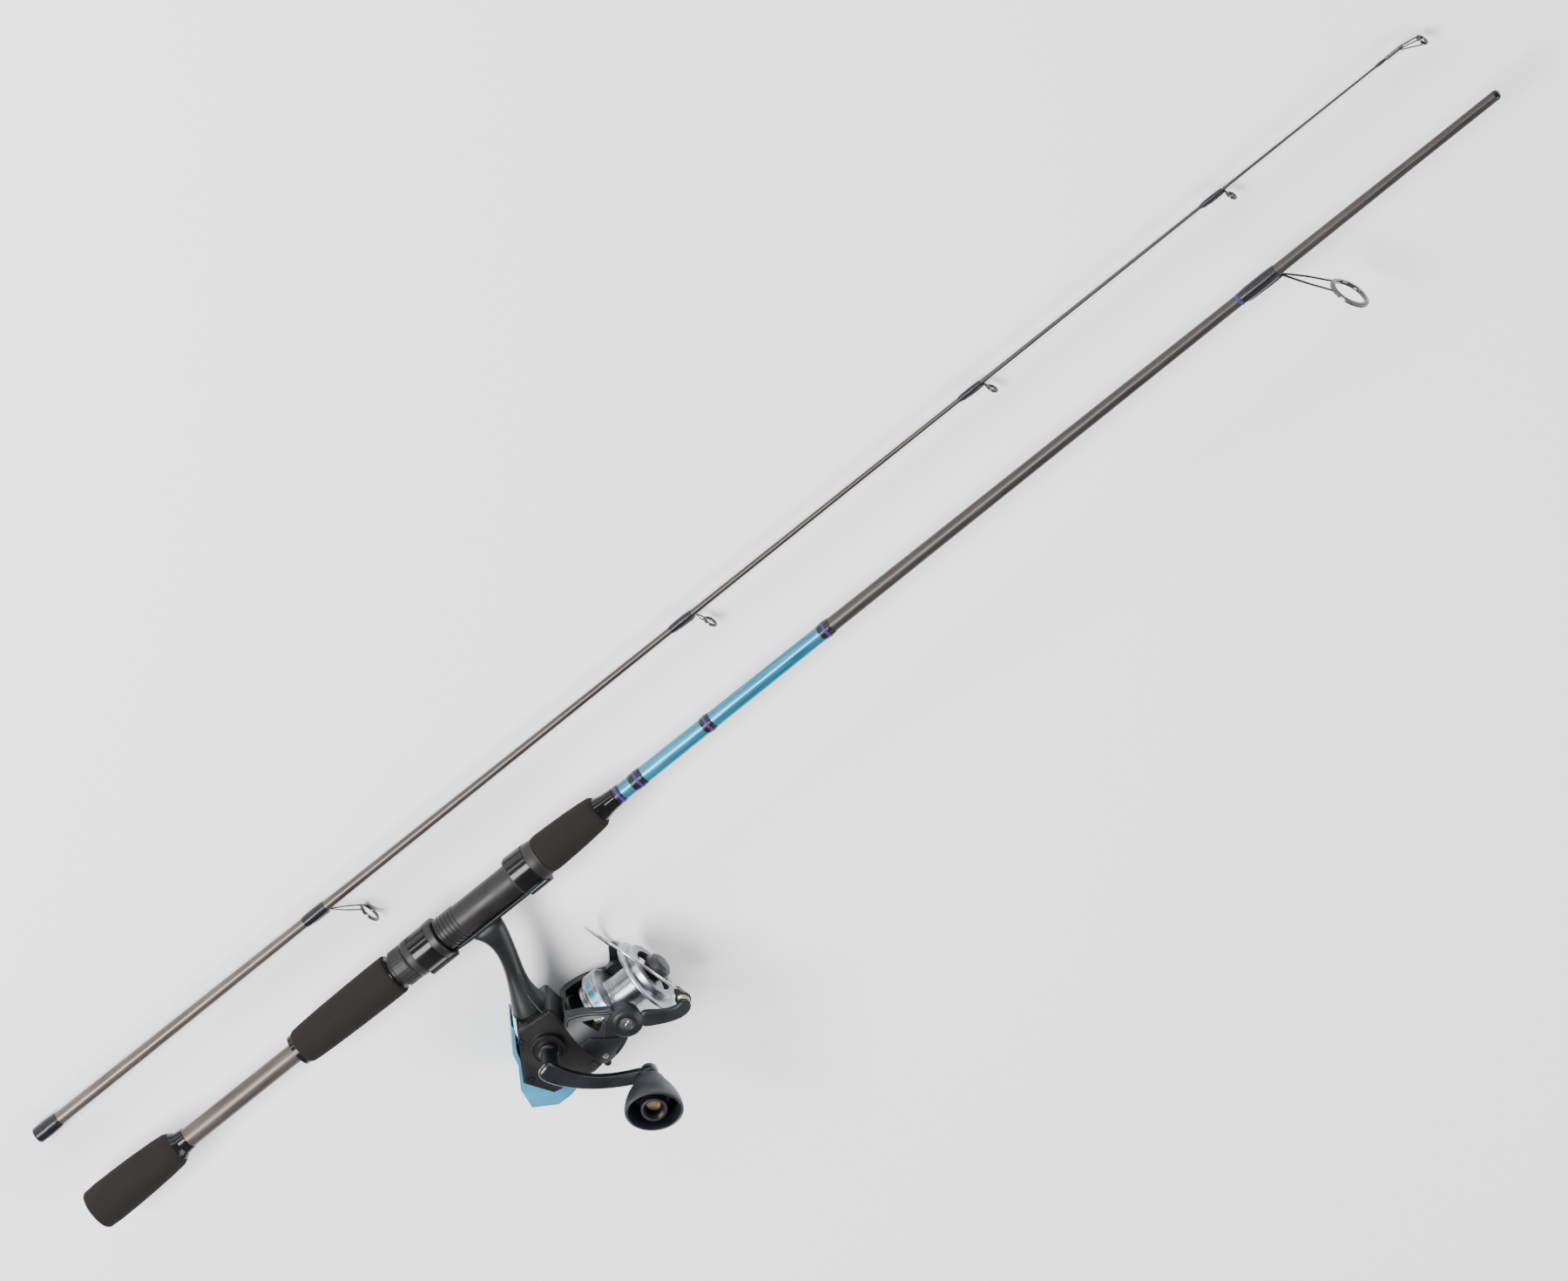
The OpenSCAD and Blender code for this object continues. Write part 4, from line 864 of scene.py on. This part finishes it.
bead_line = inset(housing_outline, 0.9)
seam = (bead_line[0] + bead_line[-1]) / 2
seam_gap = (bead_line[-1] - bead_line[0]).normalized() * 0.06
bead_line = [seam - seam_gap, *bead_line, seam + seam_gap]
bead = bent_wire("side_bead", [(p.x, p.y, 13.45) for p in bead_line], 0.4, 3)
dress(bead, plate_plastic, "root", 40)

# %% [markdown]
# ## Crank and knob
# The crank is one casting: a round stub out of the bearing boss, and an arm that bows on its
# way to the knob and ends in a round eye. The arm is swept with a flat rounded section. The
# knob swells from a neck to a broad open oval end, inside which the spindle's tube and its
# screw can be seen. It is turned round, and then narrowed across to an oval.

# %% Crank arm
knob_centre = middle("knob_spindle") / MM
reach = (knob_centre.xy - Vector((crank_x, crank_y)))
along = reach.normalized()
sideways = Vector((-along.y, along.x))
arm_low, arm_high = 35.0, 41.0


def arm_point(share):
    bow = 6.0 * 4 * share * (1 - share) * (1 - 0.35 * share)
    return Vector((crank_x, crank_y)) + reach * share - sideways * bow


arm_shares = [-0.105, -0.095, -0.065, -0.02, 0.06, 0.16, 0.28, 0.4, 0.52, 0.64, 0.76, 0.88, 0.97]
arm_halves = [1.8, 3.3, 4.7, 5.2, 5.0, 4.5, 4.0, 3.7, 3.6, 3.6, 3.6, 3.8, 4.0]
arm_heights = [1.6, 2.2, 2.7, 2.95, 2.95, 2.95, 2.95, 2.9, 2.85, 2.8, 2.8, 2.8, 2.8]
arm_path = [arm_point(s) for s in arm_shares]
arm_bar = smoothed(swept_bar("arm_bar", [(p.x, p.y, (arm_low + arm_high) / 2, h, a, z) for p, h, a, z in
                                         zip(arm_path, headings(arm_path), arm_halves, arm_heights)], corner=0.55))
stub = lathe("crank_stub", [(17.3, 2.6), (17.3, 4.7), (17.7, 5.0), (19.8, 5.0), (20.4, 4.4), (21.5, 4.2), (31.5, 4.2),
                            (33.5, 4.5), (35.4, 5.0), (36.0, 5.0), (36.0, 2.6)], (crank_x, crank_y, 0.0), (0, 0, 1),
             (1, 0, 0), 40)
eye = lathe("crank_eye", [(34.9, 2.0), (34.9, 4.2), (35.4, 4.6), (40.7, 4.6), (41.2, 4.2), (41.2, 2.0)],
            (knob_centre.x, knob_centre.y, 0.0), (0, 0, 1), (1, 0, 0), 40)
dress(joined("crank_casting", [arm_bar, stub, eye]), crank_black, "crank", 40, ["handle_arm"])

# %% [markdown]
# ## Knob
# The knob is a hollow oval cup. Spinning makes the cup and its inner tube exactly round, and one
# scaling across then makes the cup oval, which keeps its wall even and smooth.

# %% Knob
knob_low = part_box("knob")[0][2] / MM
shell_outline = [(0, 3.4), (0, 5.6), (0.5, 6.3), (2, 7.0), (5, 7.9), (8, 9.1), (12, 10.8), (16, 12.3), (20, 13.5),
                 (24, 14.4), (28, 15.0), (30.6, 15.0), (31.6, 14.7), (32, 14.1), (31.8, 13.5), (31, 13.1), (26, 12.6),
                 (20, 11.4), (16.5, 10.2), (16, 9.4), (16, 3.4)]
shell = lathe("knob_shell", [(knob_low + h, r) for h, r in shell_outline], (knob_centre.x, knob_centre.y, 0.0),
              (0, 0, 1), (1, 0, 0), 64)
pivot = Vector((knob_centre.x, knob_centre.y, 0.0)) * MM
clear_selection()
shell.select_set(True)
bpy.context.view_layer.objects.active = shell
bpy.ops.object.mode_set(mode="EDIT")
bpy.ops.mesh.select_all(action="SELECT")
bpy.ops.transform.resize(value=(1.0, 0.77, 1.0), center_override=pivot)
turn_about_z(-38.0, pivot)
bpy.ops.object.mode_set(mode="OBJECT")
tube_shape = [(14, 2.0), (14, 6.2), (29.6, 6.8), (30.2, 6.6), (30.4, 6.2), (30.2, 5.3), (23, 5.0), (22.6, 4.6),
              (22.6, 2.0)]
spindle_tube = lathe("knob_tube", [(knob_low + h, r) for h, r in tube_shape], (knob_centre.x, knob_centre.y, 0.0),
                     (0, 0, 1), (1, 0, 0), 48)
dress(joined("crank_knob_shell", [shell, spindle_tube]), knob_black, "crank_knob", 40, ["knob"])

# %% [markdown]
# ## Bail arm
# The near bail arm is a disc on the pivot that runs out into a bent finger. The finger carries
# the line roller. The disc is turned, with a recess for its screw, and the finger is swept.

# %% Bail arm and the recess for its screw
bail_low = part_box("bail_arm")[0]
pivot_x = 276.4
arm_z = bail_low[2] / MM
hub_outline = [(0, 1.75), (0, 8.2), (0.5, 8.7), (2.7, 8.7), (3.3, 8.1), (3.45, 6.4), (3.95, 5.8), (3.95, 4.0),
               (3.6, 3.5), (2.5, 3.5), (2.5, 1.75)]
bail_hub = lathe("bail_hub", [(arm_z + h, r) for h, r in hub_outline], (pivot_x, spool_y, 0.0), (0, 0, 1),
                 (1, 0, 0), 56)
finger_line = [(6, -3.5), (10, -6.6), (14, -9.7), (18, -12.2), (22, -13.8), (25, -14.1), (27.6, -13.5), (29.4, -12.7),
               (30.4, -12.2)]
finger_half = [5.0, 4.6, 4.1, 3.8, 3.7, 3.7, 3.5, 2.6, 1.2]
finger_deep = [1.6, 1.65, 1.7, 1.7, 1.7, 1.7, 1.65, 1.4, 0.8]
finger_middle = arm_z + 1.7
finger_stations = [(pivot_x + x, spool_y + y, finger_middle, heading, half, deep) for (x, y), heading, half, deep in
                   zip(finger_line, headings(finger_line), finger_half, finger_deep)]
finger = smoothed(swept_bar("finger", finger_stations, corner=0.5))
dress(joined("bail_arm_shell", [bail_hub, finger]), reel_plastic, "bail", 40, ["bail_arm"])

# %% [markdown]
# ## Far bail arm
# The arm on the far side only holds the end of the wire, so it is a smaller disc with a short
# plain finger. It is made the same way as the near one, which keeps both edges equally soft.

# %% Far bail arm
far_low, far_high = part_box("far_bail_arm")[0][2] / MM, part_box("far_bail_arm")[1][2] / MM
far_hub = lathe("far_hub", [(far_low, 3.4), (far_low, 5.9), (far_low + 0.4, 6.4), (far_high - 0.4, 6.4),
                            (far_high, 6.0), (far_high, 1.7), (far_low + 0.8, 1.7), (far_low + 0.8, 3.4)],
                (pivot_x, spool_y, 0.0), (0, 0, 1), (1, 0, 0), 56)
wire_way = Vector((6.0, 12.0))
far_steps = [(5.0, 3.9), (8.0, 3.2), (11.0, 2.6), (13.4, 2.2), (14.9, 1.6), (15.5, 0.8)]
far_path = [Vector((pivot_x, spool_y)) + wire_way.normalized() * step for step, _ in far_steps]
far_finger = swept_bar("far_finger", [(p.x, p.y, (far_low + far_high) / 2, h, half, (far_high - far_low) / 2)
                                      for p, h, (_, half) in zip(far_path, headings(far_path), far_steps)],
                       corner=0.35)
dress(joined("far_bail_arm_shell", [far_hub, far_finger]), reel_plastic, "bail", 40,
      ["far_bail_arm"])

# %% [markdown]
# ## Rotor arms
# The rotor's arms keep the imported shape, and get what its mould adds: a raised rim along the
# upper and lower edges of each arm, and a small screw in the near arm.

# %% Rims and screw of the rotor
def on_rotor(x, across, radius, flip):
    z = math.sqrt(max(radius ** 2 - across ** 2, 0.0))
    return (x, spool_y + across * flip, z * flip)


rims = []
for flip in (1, -1):
    upper = smooth_path([on_rotor(*p, 22.9, flip) for p in
                         ((249.6, 14.6), (252.5, 16.4), (258, 15.2), (264, 12.6), (270, 9.0), (274, 7.0))], 5)
    lower = smooth_path([on_rotor(*p, 22.9, flip) for p in
                         ((249.6, -14.6), (254, -15.2), (260, -14.0), (266, -11.2), (271.5, -7.6))], 5)
    rims += [bent_wire(f"rim_up_{flip}", upper, 1.0), bent_wire(f"rim_low_{flip}", lower, 0.8)]
diagonal = bent_wire("arm_fold", smooth_path([on_rotor(*p, 22.9, 1) for p in
                                              ((252, -8.0), (257, -4.2), (262.5, 0.5), (268, 5.0))], 5), 0.55)
dress(joined("rotor_rims", [*rims, diagonal]), reel_plastic, "rotor", 40)
screw_place = (254.2, spool_y - 9.6, 0.0)
small_head = lathe("rotor_screw", [(21.2, 0.0), (21.2, 1.5), (22.3, 1.5), (22.6, 1.2), (22.6, 0.55), (22.0, 0.4),
                                   (22.0, 0.0)], screw_place, (0, 0, 1), (1, 0, 0), 20)
dress(small_head, bright_steel, "rotor", 30)

# %% [markdown]
# ## Spool
# The spool is machined from aluminium: a stepped skirt at the back, a finely ribbed arbor that
# holds the line, and a thin flared lip. Its outline carries the steps and ribs as real shape.
# The skirt has a printed band of plain blue blocks on a silver ground.

# %% Turn the spool
arbor_radius, groove_radius = 10.5, 10.3
rib_pitch = 0.9
ribs = []
rib_x = 274.3
while rib_x < 287.0:
    ribs += [(rib_x, arbor_radius), (rib_x + 0.25, groove_radius), (rib_x + 0.45, groove_radius),
             (rib_x + 0.7, arbor_radius)]
    rib_x += rib_pitch
spool_outline = [(260.8, 15.0), (260.8, 15.5), (261.2, 15.9), (262.9, 15.95), (263.1, 15.5), (263.7, 15.5),
                 (263.9, 16.1), (265.0, 16.2), (265.3, 18.5), (265.7, 18.95), (266.3, 19.1), (271.4, 19.1),
                 (272.3, 18.95), (272.9, 18.4), (273.1, 17.6), (273.2, 11.3), (273.6, 10.7), (274.1, 10.5), *ribs,
                 (287.7, 10.6), (288.5, 11.3), (290.4, 18.6), (290.9, 20.3), (291.3, 20.85), (291.8, 21.0),
                 (292.3, 20.9), (292.6, 20.4), (293.0, 18.0), (293.2, 17.0), (293.2, 12.6), (286.5, 9.2),
                 (286.5, 1.15), (269.5, 1.15), (269.5, 4.0), (284.0, 4.5), (284.0, 8.8), (274.5, 9.0), (271.5, 15.0)]
spool_shell = lathe("spool_turning", spool_outline, (0.0, spool_y, 0.0), sides=80)
dress(spool_shell, spool_aluminium, "spool", 30, ["spool"])

# %% [markdown]
# ## Printed band
# The skirt's print is a thin raised band with groups of plain blue blocks. The blocks are made in
# the material from the angle round the spool, so they follow the surface and turn with it.

# %% Printed band of plain blocks
def block_print(name):
    material = finish(name, (0.30, 0.31, 0.33), (0.44, 0.45, 0.47), (0.28, 0.38), tool_rings, metal=0.85)
    tree = material.node_tree
    shader = tree.nodes["Principled BSDF"]
    silver = shader.inputs["Base Color"].links[0].from_socket
    split = tree.nodes.new("ShaderNodeSeparateXYZ")
    tree.links.new(tree.nodes.new("ShaderNodeTexCoord").outputs["Object"], split.inputs[0])
    across = arithmetic(tree, "SUBTRACT", split.outputs["Y"], spool_y * MM)
    angle = arithmetic(tree, "ARCTAN2", split.outputs["Z"], across)
    turns = arithmetic(tree, "MULTIPLY", angle, 18.0 / (2 * math.pi))
    cell = arithmetic(tree, "FRACT", turns)
    group_of = arithmetic(tree, "FRACT", arithmetic(tree, "MULTIPLY", turns, 1.0 / 6.0))
    block = arithmetic(tree, "MULTIPLY", arithmetic(tree, "GREATER_THAN", cell, 0.32),
                       arithmetic(tree, "LESS_THAN", group_of, 0.67))
    high = arithmetic(tree, "MULTIPLY", arithmetic(tree, "GREATER_THAN", split.outputs["X"], 0.2674),
                      arithmetic(tree, "LESS_THAN", split.outputs["X"], 0.2704))
    mask = arithmetic(tree, "MULTIPLY", block, high)
    paint = tree.nodes.new("ShaderNodeMix")
    paint.data_type = "RGBA"
    paint.inputs["B"].default_value = (0.02, 0.30, 0.42, 1.0)
    tree.links.new(mask, paint.inputs["Factor"])
    tree.links.new(silver, paint.inputs["A"])
    tree.links.new(paint.outputs["Result"], shader.inputs["Base Color"])
    return material


printed = lathe("spool_print_band", [(266.5, 19.0), (266.5, 19.14), (271.2, 19.14), (271.2, 19.0)],
                (0.0, spool_y, 0.0), sides=80)
dress(printed, block_print("skirt_print"), "spool", 30)
